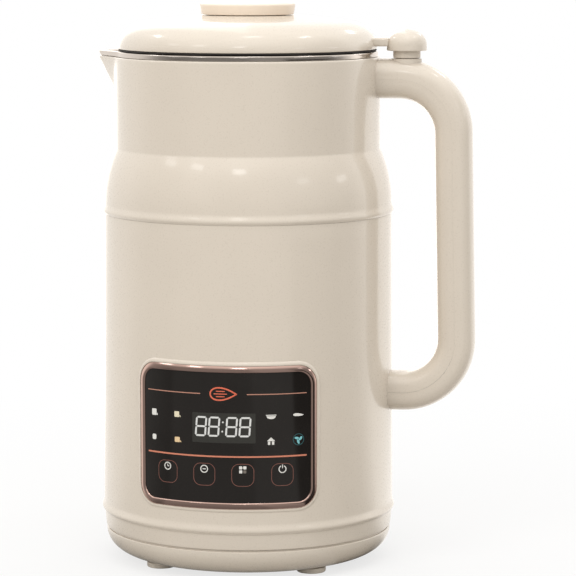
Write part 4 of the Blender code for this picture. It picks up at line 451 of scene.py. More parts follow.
# %% [markdown]
# ## Openings in the barrel
#
# Two things go through the barrel's wall: the touch panel at the front and the power inlet at the back. A
# Boolean cut is the quickest way to open them. It runs as a modifier on the finished piece, and the result is
# then kept as the piece's own mesh, so that no cutter stays behind. The front opening ends under the metal
# trim.

# %% Cutting tools
def block(low, high):
    shape = bmesh.new()
    bmesh.ops.create_cube(shape, size=1)
    size = [(top - bottom) * MM for bottom, top in zip(low, high)]
    middle = [(top + bottom) / 2 * MM for bottom, top in zip(low, high)]
    bmesh.ops.scale(shape, verts=shape.verts, vec=size)
    bmesh.ops.translate(shape, verts=shape.verts, vec=middle)
    return shape


def carve(piece, shape):
    mesh = mesh_from("cutting_tool", shape)
    tool = add_object("cutting_tool", mesh)
    modifier = piece.modifiers.new("carve", "BOOLEAN")
    modifier.operation = "DIFFERENCE"
    modifier.solver = "EXACT"
    modifier.object = tool
    bpy.context.view_layer.update()
    carved = bpy.data.meshes.new_from_object(piece.evaluated_get(bpy.context.evaluated_depsgraph_get()))
    piece.modifiers.remove(modifier)
    old = piece.data
    name = old.name
    piece.data = carved
    bpy.data.meshes.remove(old)
    carved.name = name
    bpy.data.objects.remove(tool)
    bpy.data.meshes.remove(mesh)
    carved.set_sharp_from_angle(angle=math.radians(SHARP_ANGLE))
    print(f"{piece.name} carved: {len(carved.polygons)} faces")


def drill(piece, radius, bottom, top, steps, x, y=0.0):
    carve(piece, turned([(0, bottom), (radius, bottom), (radius, top), (0, top)], steps, x, y))


def round_edges(shape, edges, width, segments):
    bmesh.ops.bevel(
        shape, geom=edges, offset=width * MM, segments=segments, profile=0.5, affect="EDGES", material=-1
    )


# %% [markdown]
# ## Shapes that wrap round the jug
#
# The panel, its trim and everything printed on it follow the jug's curve. They are drawn flat, with x as the
# distance along the arc and z as the height over the panel's centre. Then they are cut into narrow upright
# strips by `bisect_plane`, given a thickness, and wrapped. Straight strips that are narrow enough read as one
# smooth curve.

# %% Draw flat, then wrap
PANEL_WIDTH = 90.0
PANEL_HEIGHT = 68.1
PANEL_CORNER = 9.5
PANEL_CENTRE = BARREL_BOTTOM + 41.0
WRAP_RADIUS = barrel_radius(PANEL_CENTRE)
CUT_SLACK = 0.0001
UPRIGHT = Matrix.Rotation(math.pi / 2, 3, "X")


def add_plate(shape, x, z, width, height, corner=0.0, steps=6):
    known = set(shape.faces)
    made = bmesh.ops.create_grid(shape, x_segments=1, y_segments=1, size=0.5 * MM)["verts"]
    bmesh.ops.scale(shape, verts=made, vec=(width, height, 1))
    bmesh.ops.rotate(shape, verts=made, cent=(0, 0, 0), matrix=UPRIGHT)
    bmesh.ops.translate(shape, verts=made, vec=(x * MM, 0, z * MM))
    if corner:
        face = made[0].link_faces[0]
        bmesh.ops.bevel(
            shape, geom=list(face.verts), offset=corner * MM, segments=steps, profile=0.5,
            affect="VERTICES", offset_type="OFFSET", material=-1,
        )
    return next(face for face in shape.faces if face not in known)


def add_panel(shape, grow, steps):
    """The panel's rounded rectangle, grown or shrunk by the same width all round."""
    add_plate(shape, 0, 0, PANEL_WIDTH + 2 * grow, PANEL_HEIGHT + 2 * grow, PANEL_CORNER + grow, steps)


def cut_strips(shape, gap):
    lowest = min(vert.co.x for vert in shape.verts)
    highest = max(vert.co.x for vert in shape.verts)
    count = max(1, math.ceil((highest - lowest) / (gap * MM)))
    for number in range(1, count):
        side = lowest + (highest - lowest) * number / count
        whole = shape.verts[:] + shape.edges[:] + shape.faces[:]
        bmesh.ops.bisect_plane(
            shape, geom=whole, dist=CUT_SLACK * MM, plane_co=(side, 0, 0), plane_no=(1, 0, 0)
        )


def wrap(shape, radius):
    """Bends a flat drawing round the jug, with its zero height at the panel's centre."""
    for vert in shape.verts:
        vert.co.z += PANEL_CENTRE * MM
        angle = vert.co.x / (WRAP_RADIUS * MM)
        distance = radius * MM - vert.co.y
        vert.co.x = AXIS_X * MM + distance * math.sin(angle)
        vert.co.y = -distance * math.cos(angle)
    return shape


def thicken(shape, thickness):
    raised = bmesh.ops.extrude_face_region(shape, geom=shape.faces[:])["geom"]
    fronts = [item for item in raised if isinstance(item, bmesh.types.BMVert)]
    bmesh.ops.translate(shape, verts=fronts, vec=(0, -thickness * MM, 0))


print("Wrap radius:", round(WRAP_RADIUS, 2))

# %% Make the barrel and open it
LATHE_STEPS = 200
barrel = dress("barrel", turned(barrel_outline, LATHE_STEPS), "cream_plastic", "jug", "outer_body")
CUTTER_BACK, CUTTER_DEPTH = 63.0, 12.0
panel_opening = bmesh.new()
add_panel(panel_opening, -1.4, 6)
cut_strips(panel_opening, 2)
thicken(panel_opening, CUTTER_DEPTH)
carve(barrel, wrap(panel_opening, CUTTER_BACK))
INLET_GAP = 0.3
inlet_low = [edge_of("power_inlet", 0, 0) - INLET_GAP, 60, edge_of("power_inlet", 2, 0) - INLET_GAP]
inlet_high = [edge_of("power_inlet", 0, 1) + INLET_GAP, 80, edge_of("power_inlet", 2, 1) + INLET_GAP]
carve(barrel, block(inlet_low, inlet_high))

# %% [markdown]
# ## Shoulder, neck and spout
#
# Above the upper bead the wall curves in and then rises straight to the rim. The spout is a beak drawn out of
# the neck: seen from above, two straight sides run from the neck to a small rounded tip, and lower down the
# beak shrinks to nothing. It could be a second solid joined on, but pulling the neck's own surface outwards
# keeps it in one skin with a soft crease, as the moulding has. The pull depends on the angle from the spout
# and on the height.

# %% How far the spout pulls the wall outwards
SPOUT_FOOT = NECK_TOP - 19.0
SPOUT_HALF_ANGLE = math.radians(20)
SPOUT_LENGTH = 9.4
SPOUT_TIP = 4.5
SPOUT_CREASE = 0.7
SPOUT_CUTS = 30
CUT_TURN = 0.85
CUT_SHIFT = 0.1


def spout_pull(angle, height):
    share = (height - SPOUT_FOOT) / (NECK_TOP - SPOUT_FOOT)
    if share <= 0.02 or angle > SPOUT_HALF_ANGLE * 2:
        return 0.0
    half = SPOUT_HALF_ANGLE * share
    tip = SPOUT_TIP * share
    centre = NECK_RADIUS + SPOUT_LENGTH * share - tip
    aside, ahead = NECK_RADIUS * math.sin(half), NECK_RADIUS * math.cos(half) - centre
    facing = math.atan2(aside, ahead) - math.acos(min(1, tip / math.hypot(aside, ahead)))
    touch = math.atan2(tip * math.sin(facing), centre + tip * math.cos(facing))
    if angle < touch:
        reach = centre * math.cos(angle) + math.sqrt(max(0, tip**2 - (centre * math.sin(angle)) ** 2))
    else:
        reach = (centre * math.cos(facing) + tip) / max(0.2, math.cos(angle - facing))
    pull = reach - NECK_RADIUS
    crease = SPOUT_CREASE * min(1, share * 3)
    soft = (pull + math.sqrt(pull**2 + crease**2)) / 2
    return soft * min(1, max(0, (SPOUT_HALF_ANGLE * 2 - angle) / SPOUT_HALF_ANGLE))


def draw_spout(shape):
    """More upright strips near the spout, then each vertex moves out by the pull."""
    for number in range(-SPOUT_CUTS, SPOUT_CUTS + 1):
        angle = math.radians(number * CUT_TURN + CUT_SHIFT)
        near = [face for face in shape.faces if face.calc_center_median().x < (AXIS_X - 50) * MM
                and face.calc_center_median().z > (SPOUT_FOOT - 3) * MM]
        edges = list(dict.fromkeys(edge for face in near for edge in face.edges))
        verts = list(dict.fromkeys(vert for face in near for vert in face.verts))
        bmesh.ops.bisect_plane(
            shape, geom=verts + edges + near, dist=CUT_SLACK * MM,
            plane_co=(AXIS_X * MM, 0, 0), plane_no=(math.sin(angle), math.cos(angle), 0),
        )
    for vert in shape.verts:
        across, along = vert.co.x - AXIS_X * MM, vert.co.y
        angle = abs(math.atan2(along, -across))
        if angle < SPOUT_HALF_ANGLE * 2 and vert.co.z > SPOUT_FOOT * MM:
            radius = math.hypot(across, along)
            share = 1 + spout_pull(angle, vert.co.z / MM) * MM / radius
            vert.co.x = AXIS_X * MM + across * share
            vert.co.y = along * share
    return shape


print("Pull at the tip:", round(spout_pull(0.0, NECK_TOP), 2), "mm")

# %% Make the neck
NECK_INSIDE = 62.1
SHOULDER_ARC = 62.0
SHOULDER_CENTRE = BARREL_TOP_RADIUS - SHOULDER_ARC
SHOULDER_SKEW = 1.3
CREASE_ANGLE = math.acos((NECK_RADIUS - SHOULDER_CENTRE) / SHOULDER_ARC)
CREASE = SHOULDER + SHOULDER_ARC * math.sin(CREASE_ANGLE)


def shoulder(inset, steps):
    angles = [CREASE_ANGLE * (1 - (step / steps) ** SHOULDER_SKEW) for step in range(steps)]
    return [
        (SHOULDER_CENTRE + SHOULDER_ARC * math.cos(angle) - inset, SHOULDER + SHOULDER_ARC * math.sin(angle))
        for angle in angles
    ]


def upright(radius, start, end, gap=1.0):
    """Points up or down a straight wall, close enough for the spout to be drawn out of it."""
    return stepped(lambda height: radius, start, end, gap)


neck_outline = softened([(NECK_INSIDE, SPOUT_FOOT, 0), (NECK_INSIDE, NECK_TOP, 0.4),
                         (NECK_RADIUS, NECK_TOP, 0.9), (NECK_RADIUS, NECK_TOP - 4, 0)])[1:-1]
neck_outline += upright(NECK_RADIUS, NECK_TOP - 1.5, SPOUT_FOOT - 2)
neck_outline += upright(NECK_RADIUS, SPOUT_FOOT - 5, CREASE + 0.6, 5)
neck_outline += [(NECK_RADIUS, CREASE + 0.2)] + shoulder(0, 24)[1:] + bead(UPPER_BEAD, BARREL_TOP_RADIUS)
neck_outline += [(WALL_INSIDE, UPPER_BEAD), (WALL_INSIDE, SHOULDER)] + shoulder(2.4, 5)[:0:-1]
neck_outline += [(NECK_INSIDE, CREASE - 2.4)] + upright(NECK_INSIDE, SPOUT_FOOT - 2, NECK_TOP - 1.5)
neck = draw_spout(turned(neck_outline, LATHE_STEPS))
dress("neck", neck, "cream_plastic", "jug", "neck_shell")

# %% [markdown]
# ## The steel cup
#
# Nuts and water go into a thin steel cup that hangs in the jug from its rolled rim. The rim shows as a bright
# band under the lid, and it is pulled out into a lip inside the cream beak. The same pull as the neck's keeps
# the gap between the two even, so the lip sits in its beak as one pressing sits in another.

# %% Make the cup
CUP_FLOOR = edge_of("inner_cup", 2, 0)
CUP_RADIUS = 60.5
CUP_WALL = 0.8
CUP_HOLE = 10.5
RIM_RADIUS = 63.4
RIM_BOTTOM = NECK_TOP + 0.12
RIM_TOP = NECK_TOP + 2.7
cup_inside, floor_inside = CUP_RADIUS - CUP_WALL, CUP_FLOOR + CUP_WALL
cup_outline = softened([(CUP_HOLE, floor_inside, 0), (cup_inside, floor_inside, 12),
                        (cup_inside, SPOUT_FOOT - 2, 0)], 12)
cup_outline += upright(cup_inside, SPOUT_FOOT, RIM_TOP - 1.6)
cup_outline += softened([(cup_inside, RIM_TOP - 2, 0), (cup_inside, RIM_TOP, 1.1), (RIM_RADIUS, RIM_TOP, 1.2),
                         (RIM_RADIUS, RIM_BOTTOM, 0.25), (CUP_RADIUS, RIM_BOTTOM, 0.3),
                         (CUP_RADIUS, RIM_BOTTOM - 2, 0)])[1:-1]
cup_outline += upright(CUP_RADIUS, RIM_BOTTOM - 1, SPOUT_FOOT)
cup_outline += softened([(CUP_RADIUS, SPOUT_FOOT - 3, 0), (CUP_RADIUS, CUP_FLOOR, 12.8),
                         (CUP_HOLE, CUP_FLOOR, 0)], 12)
cup = draw_spout(turned(cup_outline, LATHE_STEPS))
dress("steel_cup", cup, "steel", "jug", "inner_cup")

# %% [markdown]
# ## Base cover and feet
#
# Under the groove the base curves in to a flat underside, like the bottom of a bowl. Air for the motor comes
# through nine slots, and three screws sit in deep round recesses. Four rubber feet lift it off the worktop,
# so that the slots can breathe.

# %% Make the base cover
FLAT_RADIUS = 55.5


def bowl(top, out, down, steps):
    """A quarter of an ellipse from the wall down to the flat underside."""
    turns = [step / steps * math.pi / 2 for step in range(steps + 1)]
    return [(FLAT_RADIUS + out * math.cos(turn), top - down * math.sin(turn)) for turn in turns]


COVER_TOP, COVER_EDGE, COVER_BEND = SPLIT + 2.2, SPLIT - 0.05, SPLIT - 1.4
base_outline = softened([(66.0, COVER_TOP, 0), (WALL_INSIDE, COVER_TOP, 0.3), (WALL_INSIDE, COVER_EDGE, 0),
                         (69.2, COVER_EDGE, 0.1), (69.2, SPLIT - 0.6, 0.1), (70.0, SPLIT - 0.65, 0.5),
                         (70.0, COVER_BEND, 0)])
base_outline += bowl(COVER_BEND, 14.5, 11.8, 16)[1:]
base_outline += [(0, UNDERSIDE), (0, UNDERSIDE + 2.4)]
base_outline += bowl(SPLIT - 0.4, 10.5, 10.4, 12)[::-1]
base = dress("base_cover", turned(base_outline, LATHE_STEPS), "cream_plastic", "jug", "base_shell")

# %% Open its air slots and screw holes
SLOTS = 9
slots = bmesh.new()
for number in range(SLOTS):
    slot = block((12, -1.3, UNDERSIDE - 2), (27, 1.3, UNDERSIDE + 4.4))
    corners = [edge for edge in slot.edges if abs(edge.verts[0].co.z - edge.verts[1].co.z) > MM]
    round_edges(slot, corners, 1.25, 4)
    turn = Matrix.Rotation(number / SLOTS * math.tau, 3, "Z")
    bmesh.ops.rotate(slot, verts=slot.verts, cent=(0, 0, 0), matrix=turn)
    bmesh.ops.translate(slot, verts=slot.verts, vec=(AXIS_X * MM, 0, 0))
    mesh = bpy.data.meshes.new("slot")
    slot.to_mesh(mesh)
    slots.from_mesh(mesh)
    slot.free()
    bpy.data.meshes.remove(mesh)
carve(base, slots)
for name in ("base_screw_1", "base_screw_2", "base_screw_3"):
    x, y, _ = middle_of(name)
    drill(base, 3.4, UNDERSIDE - 2, UNDERSIDE + 8, 32, x, y)

# %% Make the four feet
STEM_RADIUS = 2.2
for name in ("foot_front_left", "foot_front_right", "foot_rear_left", "foot_rear_right"):
    x, y, _ = middle_of(name)
    radius, foot_top, stem_top = edge_of(name, 0, 1) - x, UNDERSIDE - 0.3, edge_of(name, 2, 1)
    foot_corners = [(0, 0, 0), (radius, 0, 0.8), (radius, foot_top, 0.1), (STEM_RADIUS, foot_top, 0),
                    (STEM_RADIUS, stem_top, 0.3), (0, stem_top, 0)]
    dress(name + "_pad", turned(softened(foot_corners), 48, x, y), "cream_rubber", "jug", name)

# %% [markdown]
# ## Border, trim and glass
#
# A soft raised lip of the cream moulding frames the panel, and inside it sits a rounded rose-gold trim. Both
# are frames that follow the jug's curve, so both are drawn as a stack of rounded rectangles at different
# distances from the axis. Every rectangle is made in the same way, so its corners come in the same order, and
# each ring can be joined to the next corner by corner. Each ring is (how far it grows past the panel, its
# distance in front of the surface).

# %% A wrapped frame from rings
SIDE_LENGTH = 20
SIDE_CUTS = 44


def rounded_ring(grow):
    shape = bmesh.new()
    add_panel(shape, grow, 10)
    bmesh.ops.delete(shape, geom=shape.faces[:], context="FACES_ONLY")
    sides = [edge for edge in shape.edges if edge.calc_length() > SIDE_LENGTH * MM]
    bmesh.ops.subdivide_edges(shape, edges=sides, cuts=SIDE_CUTS)
    shape.verts.index_update()
    return shape


def wrapped_frame(levels):
    whole = bmesh.new()
    loops = []
    for grow, proud in levels:
        ring = rounded_ring(grow)
        corners = [whole.verts.new((vert.co.x, -proud * MM, vert.co.z)) for vert in ring.verts]
        pairs = [[corner.index for corner in edge.verts] for edge in ring.edges]
        ring.free()
        loops.append(corners)
    for first, second in zip(loops, loops[1:] + loops[:1]):
        for here, there in pairs:
            whole.faces.new((first[here], first[there], second[there], second[here]))
    return wrap(whole, WRAP_RADIUS)


border_levels = [(2.2, -0.6), (1.9, -0.05), (1.5, 0.35), (1.0, 0.6), (0.5, 0.68), (0.15, 0.6), (0.1, 0.2),
                 (0.1, -0.6)]
dress("panel_border", wrapped_frame(border_levels), "cream_plastic", "jug", "outer_body", sharp=50)
TRIM_CREST = 2.3
TRIM_EDGE = 0.36
TRIM_RISE = 0.74
TRIM_ROLL = 0.85
trim_levels = [(0, -1.0)]
for step in range(9):
    share = step / 8
    trim_levels.append((-TRIM_CREST * share, TRIM_EDGE + TRIM_RISE * math.sin(share * math.pi / 2)))
for step in range(1, 7):
    turn = step / 6 * math.pi / 2
    trim_levels.append((-TRIM_CREST - TRIM_ROLL * math.sin(turn), TRIM_EDGE + TRIM_RISE * math.cos(turn)))
trim_levels += [(-3.1, 0.31), (-2.6, 0.31), (-2.6, -1.0)]
dress("rose_gold_trim", wrapped_frame(trim_levels), "rose_gold", "jug", "panel_trim", sharp=50)

# %% Make the glass
STRIP_WIDTH = 1.6
GLASS_BACK = WRAP_RADIUS - 1.0
GLASS_THICK = 1.3
glass = bmesh.new()
add_panel(glass, -2.9, 8)
cut_strips(glass, STRIP_WIDTH)
thicken(glass, GLASS_THICK)
front = [edge for edge in glass.edges if len(edge.link_faces) == 2 and edge.calc_face_angle() > 1
         and all(vert.co.y < (0.1 - GLASS_THICK) * MM for vert in edge.verts)]
round_edges(glass, front, 0.25, 2)
dress("touch_glass", wrap(glass, GLASS_BACK), "black_glass", "jug", "panel_glass", sharp=20)

# %% [markdown]
# ## Prints on the glass
#
# The glass carries two thin orange lines, eight small food symbols, a clock display and four touch keys. Each
# colour is one piece: all its shapes are drawn flat in the same mesh, thickened by a few hundredths of a
# millimetre, and wrapped just in front of the glass. The mark at the top is the plain outline of an almond.

# %% Shapes for the prints
GLASS_FRONT = GLASS_BACK + GLASS_THICK


def add_disc(shape, x, z, radius, steps=24, squash=1.0, turn=0.0):
    made = bmesh.ops.create_circle(shape, cap_ends=True, radius=radius * MM, segments=steps)["verts"]
    bmesh.ops.scale(shape, verts=made, vec=(1, squash, 1))
    bmesh.ops.rotate(shape, verts=made, cent=(0, 0, 0), matrix=Matrix.Rotation(turn, 3, "Z"))
    bmesh.ops.rotate(shape, verts=made, cent=(0, 0, 0), matrix=UPRIGHT)
    bmesh.ops.translate(shape, verts=made, vec=(x * MM, 0, z * MM))
    return made[0].link_faces[0]


def add_patch(shape, *points):
    return shape.faces.new([shape.verts.new((x * MM, 0, z * MM)) for x, z in points])


def hollow_out(shape, face, width):
    """Keeps only a rim of the given width."""
    shape.normal_update()
    bmesh.ops.inset_region(shape, faces=[face], thickness=width * MM, use_even_offset=True, use_boundary=True)
    bmesh.ops.delete(shape, geom=[face], context="FACES_ONLY")


def print_finish(name, colour, glow=0.0):
    material, tree, shader, place = new_finish(name)
    base = linear(*colour)
    speck = link_range(tree, link_noise(tree, place, 1500, 2), 0, 1)
    darker = [value * 0.9 for value in base]
    tree.links.new(link_colours(tree, speck, darker, base), shader.inputs["Base Color"])
    tree.links.new(link_range(tree, speck, 0.32, 0.42, 0, 1), shader.inputs["Roughness"])
    shader.inputs["Emission Color"].default_value = (*base, 1)
    shader.inputs["Emission Strength"].default_value = glow
    return material


def make_print(name, shape, slot, finish, lift=0.02, thickness=0.05):
    cut_strips(shape, STRIP_WIDTH)
    thicken(shape, thickness)
    dress(name, wrap(shape, GLASS_FRONT + lift), slot, "jug", finish=finish)


# %% Orange lines and the almond
orange = bmesh.new()
for x in (-25.5, 25.4):
    add_plate(orange, x, 20.8, 28.8, 0.42, 0.2, 3)
make_print("upper_orange_lines", orange, "rose_gold", print_finish("dull_orange_print", (196, 142, 122)))
lower_line = bmesh.new()
add_plate(lower_line, 0.0, -8.9, 79.6, 0.75, 0.3, 3)
make_print("lower_orange_line", lower_line, "rose_gold", print_finish("orange_print", (215, 135, 108)))
ALMOND_Z = 20.9
ALMOND_STEPS = 48
ALMOND_HALF = 6.6
ALMOND_SWELL = 4.2
ALMOND_POINT = 0.9
almond = bmesh.new()
almond_outline = []
for step in range(ALMOND_STEPS):
    turn = step / ALMOND_STEPS * math.tau
    swell = math.sin(turn) * abs(math.sin(turn / 2)) ** ALMOND_POINT
    almond_outline.append((ALMOND_HALF * math.cos(turn), ALMOND_Z + ALMOND_SWELL * swell))
hollow_out(almond, add_patch(almond, *almond_outline), 0.7)
for rise, length in ((-1.25, 4.2), (0, 6.4), (1.25, 4.2)):
    add_plate(almond, -1.4, ALMOND_Z + rise, length, 0.45, 0.2, 3)
make_print("almond_mark", almond, "rose_gold", print_finish("bright_orange_print", (226, 112, 84)))

# %% [markdown]
# ## Display and keys
#
# The clock shows seven bars in each digit, leaning a little to the right. A bar is a six-sided patch with
# pointed ends, so that neighbours meet in neat mitres. The keys are thin outlines of rounded squares with a
# symbol in each.

# %% Clock digits
display = bmesh.new()
add_plate(display, 0.0, 4.7, 30.2, 14.2, 0.4, 3)
display_print = print_finish("display_window", (54, 53, 49))
make_print("display_window", display, "black_plastic", display_print, lift=0.005, thickness=0.02)

digits = bmesh.new()
DIGIT_CENTRE = 5.3
DIGIT_HEIGHT = 8.7
DIGIT_WIDTH = 4.65
STROKE = 0.85
LEAN = 0.075


def add_bar(shape, start, end):
    """A bar from start to end with pointed tips, leaned to the right."""
    first, last = Vector(start), Vector(end)
    along = (last - first).normalized()
    aside = Vector((-along.y, along.x)) * STROKE / 2
    first, last = first + along * 0.12, last - along * 0.12
    inner_first, inner_last = first + along * STROKE / 2, last - along * STROKE / 2
    corners = [first, inner_first + aside, inner_last + aside, last, inner_last - aside, inner_first - aside]
    add_patch(shape, *[(point.x + (point.y - DIGIT_CENTRE) * LEAN, point.y) for point in corners])


low, high = DIGIT_CENTRE - DIGIT_HEIGHT / 2, DIGIT_CENTRE + DIGIT_HEIGHT / 2
for left in (-13.1, -6.8, 1.55, 7.85):
    right = left + DIGIT_WIDTH
    for height in (low, DIGIT_CENTRE, high):
        add_bar(digits, (left, height), (right, height))
    for x in (left, right):
        add_bar(digits, (x, low), (x, DIGIT_CENTRE))
        add_bar(digits, (x, DIGIT_CENTRE), (x, high))
for rise in (-2.2, 2.2):
    add_disc(digits, -0.35 + rise * LEAN, DIGIT_CENTRE + rise, 0.42, 12)
digit_print = print_finish("lit_digits", (215, 215, 212), glow=0.1)
make_print("clock_digits", digits, "white_plastic", digit_print, lift=0.03)

# %% Touch keys
KEY_PLACES = (-28.35, -9.3, 9.1, 27.85)
key_rims = bmesh.new()
for x in KEY_PLACES:
    hollow_out(key_rims, add_plate(key_rims, x, -17.6, 10.7, 10.8, 3.6, 8), 0.28)
make_print("key_outlines", key_rims, "rose_gold", print_finish("key_outline", (130, 85, 75)))

# %% Symbols in the keys: a clock, a minus, four squares and a power sign
symbols, dim_symbols = bmesh.new(), bmesh.new()
SYMBOL_Z = -15.0
clock_x, minus_x, squares_x, power_x = KEY_PLACES


def add_circle(x):
    hollow_out(symbols, add_disc(symbols, x, SYMBOL_Z, 1.9, 28), 0.45)


add_circle(clock_x)
add_circle(minus_x)
add_plate(symbols, clock_x, SYMBOL_Z + 0.5, 0.36, 1.0)
add_plate(symbols, clock_x + 0.4, SYMBOL_Z, 0.9, 0.36)
add_plate(symbols, minus_x, SYMBOL_Z, 1.6, 0.42)
for x, z in ((-0.95, 0.95), (0.95, 0.95), (-0.95, -0.95), (0.95, -0.95)):
    add_plate(dim_symbols if x > 0 > z else symbols, squares_x + x, SYMBOL_Z + z, 1.5, 1.5, 0.35, 3)
add_circle(power_x)
gap = [face for face in symbols.faces if abs(face.calc_center_median().x - power_x * MM) < 0.7 * MM
       and face.calc_center_median().z > (SYMBOL_Z + 1) * MM]
bmesh.ops.delete(symbols, geom=gap, context="FACES")
add_plate(symbols, power_x, SYMBOL_Z + 1.3, 0.42, 1.8)
white_print = print_finish("white_print", (232, 230, 224))
make_print("key_symbols", symbols, "white_plastic", white_print)
make_print("dim_key_symbol", dim_symbols, "white_plastic", print_finish("dim_print", (120, 112, 104)))

# %% [markdown]
# ## Food symbols
#
# Eight tiny pictures stand for the recipes: three cups, a beaker, a bowl, a flat dish, a house and a round
# fan. At this size a few patches each are enough, in white, cream, tan and teal.

# %% Recipe symbols
whites, creams, tans, teals, dim_teals = [bmesh.new() for _ in range(5)]


def add_cup(shape, x, z, width, height, corner):
    """A small body with a crumb of a handle at its lower right."""
    add_plate(shape, x, z, width, height, corner, 3)
    add_patch(shape, (x + width / 2 + 0.15, z - height * 0.1), (x + width / 2 + 0.15, z - height * 0.4),
              (x + width / 2 + 0.75, z - height * 0.5), (x + width / 2 + 0.6, z - height * 0.2))


add_cup(whites, -36.1, 10.2, 2.7, 3.1, 0.4)
add_cup(creams, -23.2, 10.2, 2.6, 2.7, 0.4)
add_plate(whites, -36.1, -1.7, 2.3, 2.6, 0.7, 3)
add_cup(tans, -23.0, -1.9, 2.7, 2.5, 0.4)
half_turns = [math.pi * (1 + step / 12) for step in range(13)]
add_patch(whites, *[(22.45 + 2.2 * math.cos(turn), 10.4 + 1.4 * math.sin(turn)) for turn in half_turns])
add_plate(whites, 22.45, 10.85, 5.0, 0.4, 0.15, 2)
add_patch(whites, (33.1, 10.9), (33.1, 10.3), (33.9, 9.95), (35.9, 9.9), (37.6, 10.1), (38.3, 10.45),
          (37.2, 10.9), (35.4, 11.3), (33.9, 11.3))
add_patch(whites, (20.45, -1.5), (22.4, 0.3), (24.35, -1.5))
for x in (21.45, 23.35):
    add_plate(whites, x, -2.45, 1.1, 1.6)
FAN_X, FAN_Z = 35.7, -1.2
hollow_out(dim_teals, add_disc(dim_teals, FAN_X, FAN_Z, 2.8, 28), 0.3)
for number in range(3):
    turn = number / 3 * math.tau + 0.4
    add_disc(teals, FAN_X + 1.1 * math.cos(turn), FAN_Z + 1.1 * math.sin(turn), 1.15, 14, 0.5, turn + 0.5)
make_print("white_symbols", whites, "white_plastic", white_print)
make_print("cream_symbols", creams, "white_plastic", print_finish("cream_print", (235, 225, 195)))
make_print("tan_symbols", tans, "white_plastic", print_finish("tan_print", (235, 205, 160)))
make_print("teal_symbol", teals, "white_plastic", print_finish("teal_print", (130, 200, 205)))
make_print("teal_ring", dim_teals, "white_plastic", print_finish("dim_teal_print", (52, 98, 102)))

# %% [markdown]
# ## The lid
#
# The lid is a shallow dome with a soft shoulder. A short arm reaches from it to a round cap over the handle:
# under the cap a plug goes into the handle's socket and tells the machine that the lid is on. The dome is
# spun, and so is the cap. The arm between them is a bevelled block.

# %% Make the lid's shell
LID_BOTTOM = edge_of("lid_seal", 2, 1) + 0.3
LID_RADIUS = 63.0
LID_INSIDE = 61.0
LID_EDGE = LID_BOTTOM + 1.6
LID_CROWN = LID_BOTTOM + 16.2
PEG_HOLE = 2.9
lid_corners = [(LID_INSIDE, LID_BOTTOM, 0), (LID_RADIUS, LID_BOTTOM, 0.5), (LID_RADIUS, LID_EDGE, 0)]
lid_outline = softened(lid_corners)[:-1]
lid_outline += curve((LID_RADIUS, LID_EDGE), (61.3, LID_EDGE + 9.0), (50.7, LID_EDGE + 11.4), 20)
lid_outline += [(40, LID_CROWN - 1.9), (31, LID_CROWN - 0.8)]
lid_outline += softened([(31, LID_CROWN - 0.8, 0), (24.5, LID_CROWN, 1.5), (PEG_HOLE, LID_CROWN, 0)])[1:]
lid_outline += [(PEG_HOLE, LID_CROWN - 2.1), (24.5, LID_CROWN - 2.1)]
lid_outline += curve((48.5, LID_CROWN - 5.2), (59.2, LID_CROWN - 7.7), (LID_INSIDE, LID_EDGE), 8)
dress("lid_dome", turned(lid_outline, LATHE_STEPS), "cream_plastic", "lid", "lid_shell")

# %% Cap, arm and plug
CAP_X = middle_of("coupler_plug")[0]
CAP_BOTTOM = LID_BOTTOM - 0.6
CAP_RADIUS = 9.7
cap_corners = [(8.0, CAP_BOTTOM, 0.2), (9.75, CAP_BOTTOM, 0.5), (CAP_RADIUS, CAP_BOTTOM + 2, 0)]
cap_outline = softened(cap_corners)[:-1]
cap_outline += curve((CAP_RADIUS, CAP_BOTTOM + 2.6), (9.5, CAP_BOTTOM + 9.3), (0, CAP_BOTTOM + 10.45), 18)
cap_outline += [(0, CAP_BOTTOM + 8), (6, CAP_BOTTOM + 7), (8.0, CAP_BOTTOM + 4)]
dress("lid_cap", turned(cap_outline, 72, CAP_X), "cream_plastic", "lid", "lid_shell")
arm = block((AXIS_X + 60.2, -6, LID_BOTTOM + 1.5), (CAP_X - 8.2, 6, LID_BOTTOM + 5.6))
round_edges(arm, arm.edges[:], 0.9, 3)
dress("lid_arm", arm, "cream_plastic", "lid", "lid_shell")
ARM_TOP = NECK_TOP - 0.6
PLUG_TIP, PLUG_STEP, PLUG_TOP = ARM_TOP - 7.0, ARM_TOP + 0.3, CAP_BOTTOM + 3.9
plug_corners = [(0, PLUG_TIP, 0), (5.0, PLUG_TIP, 0.6), (5.0, PLUG_STEP, 0.15), (6.6, PLUG_STEP, 0.4),
                (6.6, CAP_BOTTOM, 0), (7.7, CAP_BOTTOM, 0.2), (7.7, PLUG_TOP, 0), (0, PLUG_TOP, 0)]
plug = dress("plug", turned(softened(plug_corners), 64, CAP_X), "cream_satin", "lid", "coupler_plug")
for name in ("contact_pin_1", "contact_pin_2"):
    drill(plug, 1.2, ARM_TOP - 9, ARM_TOP, 20, middle_of(name)[0])
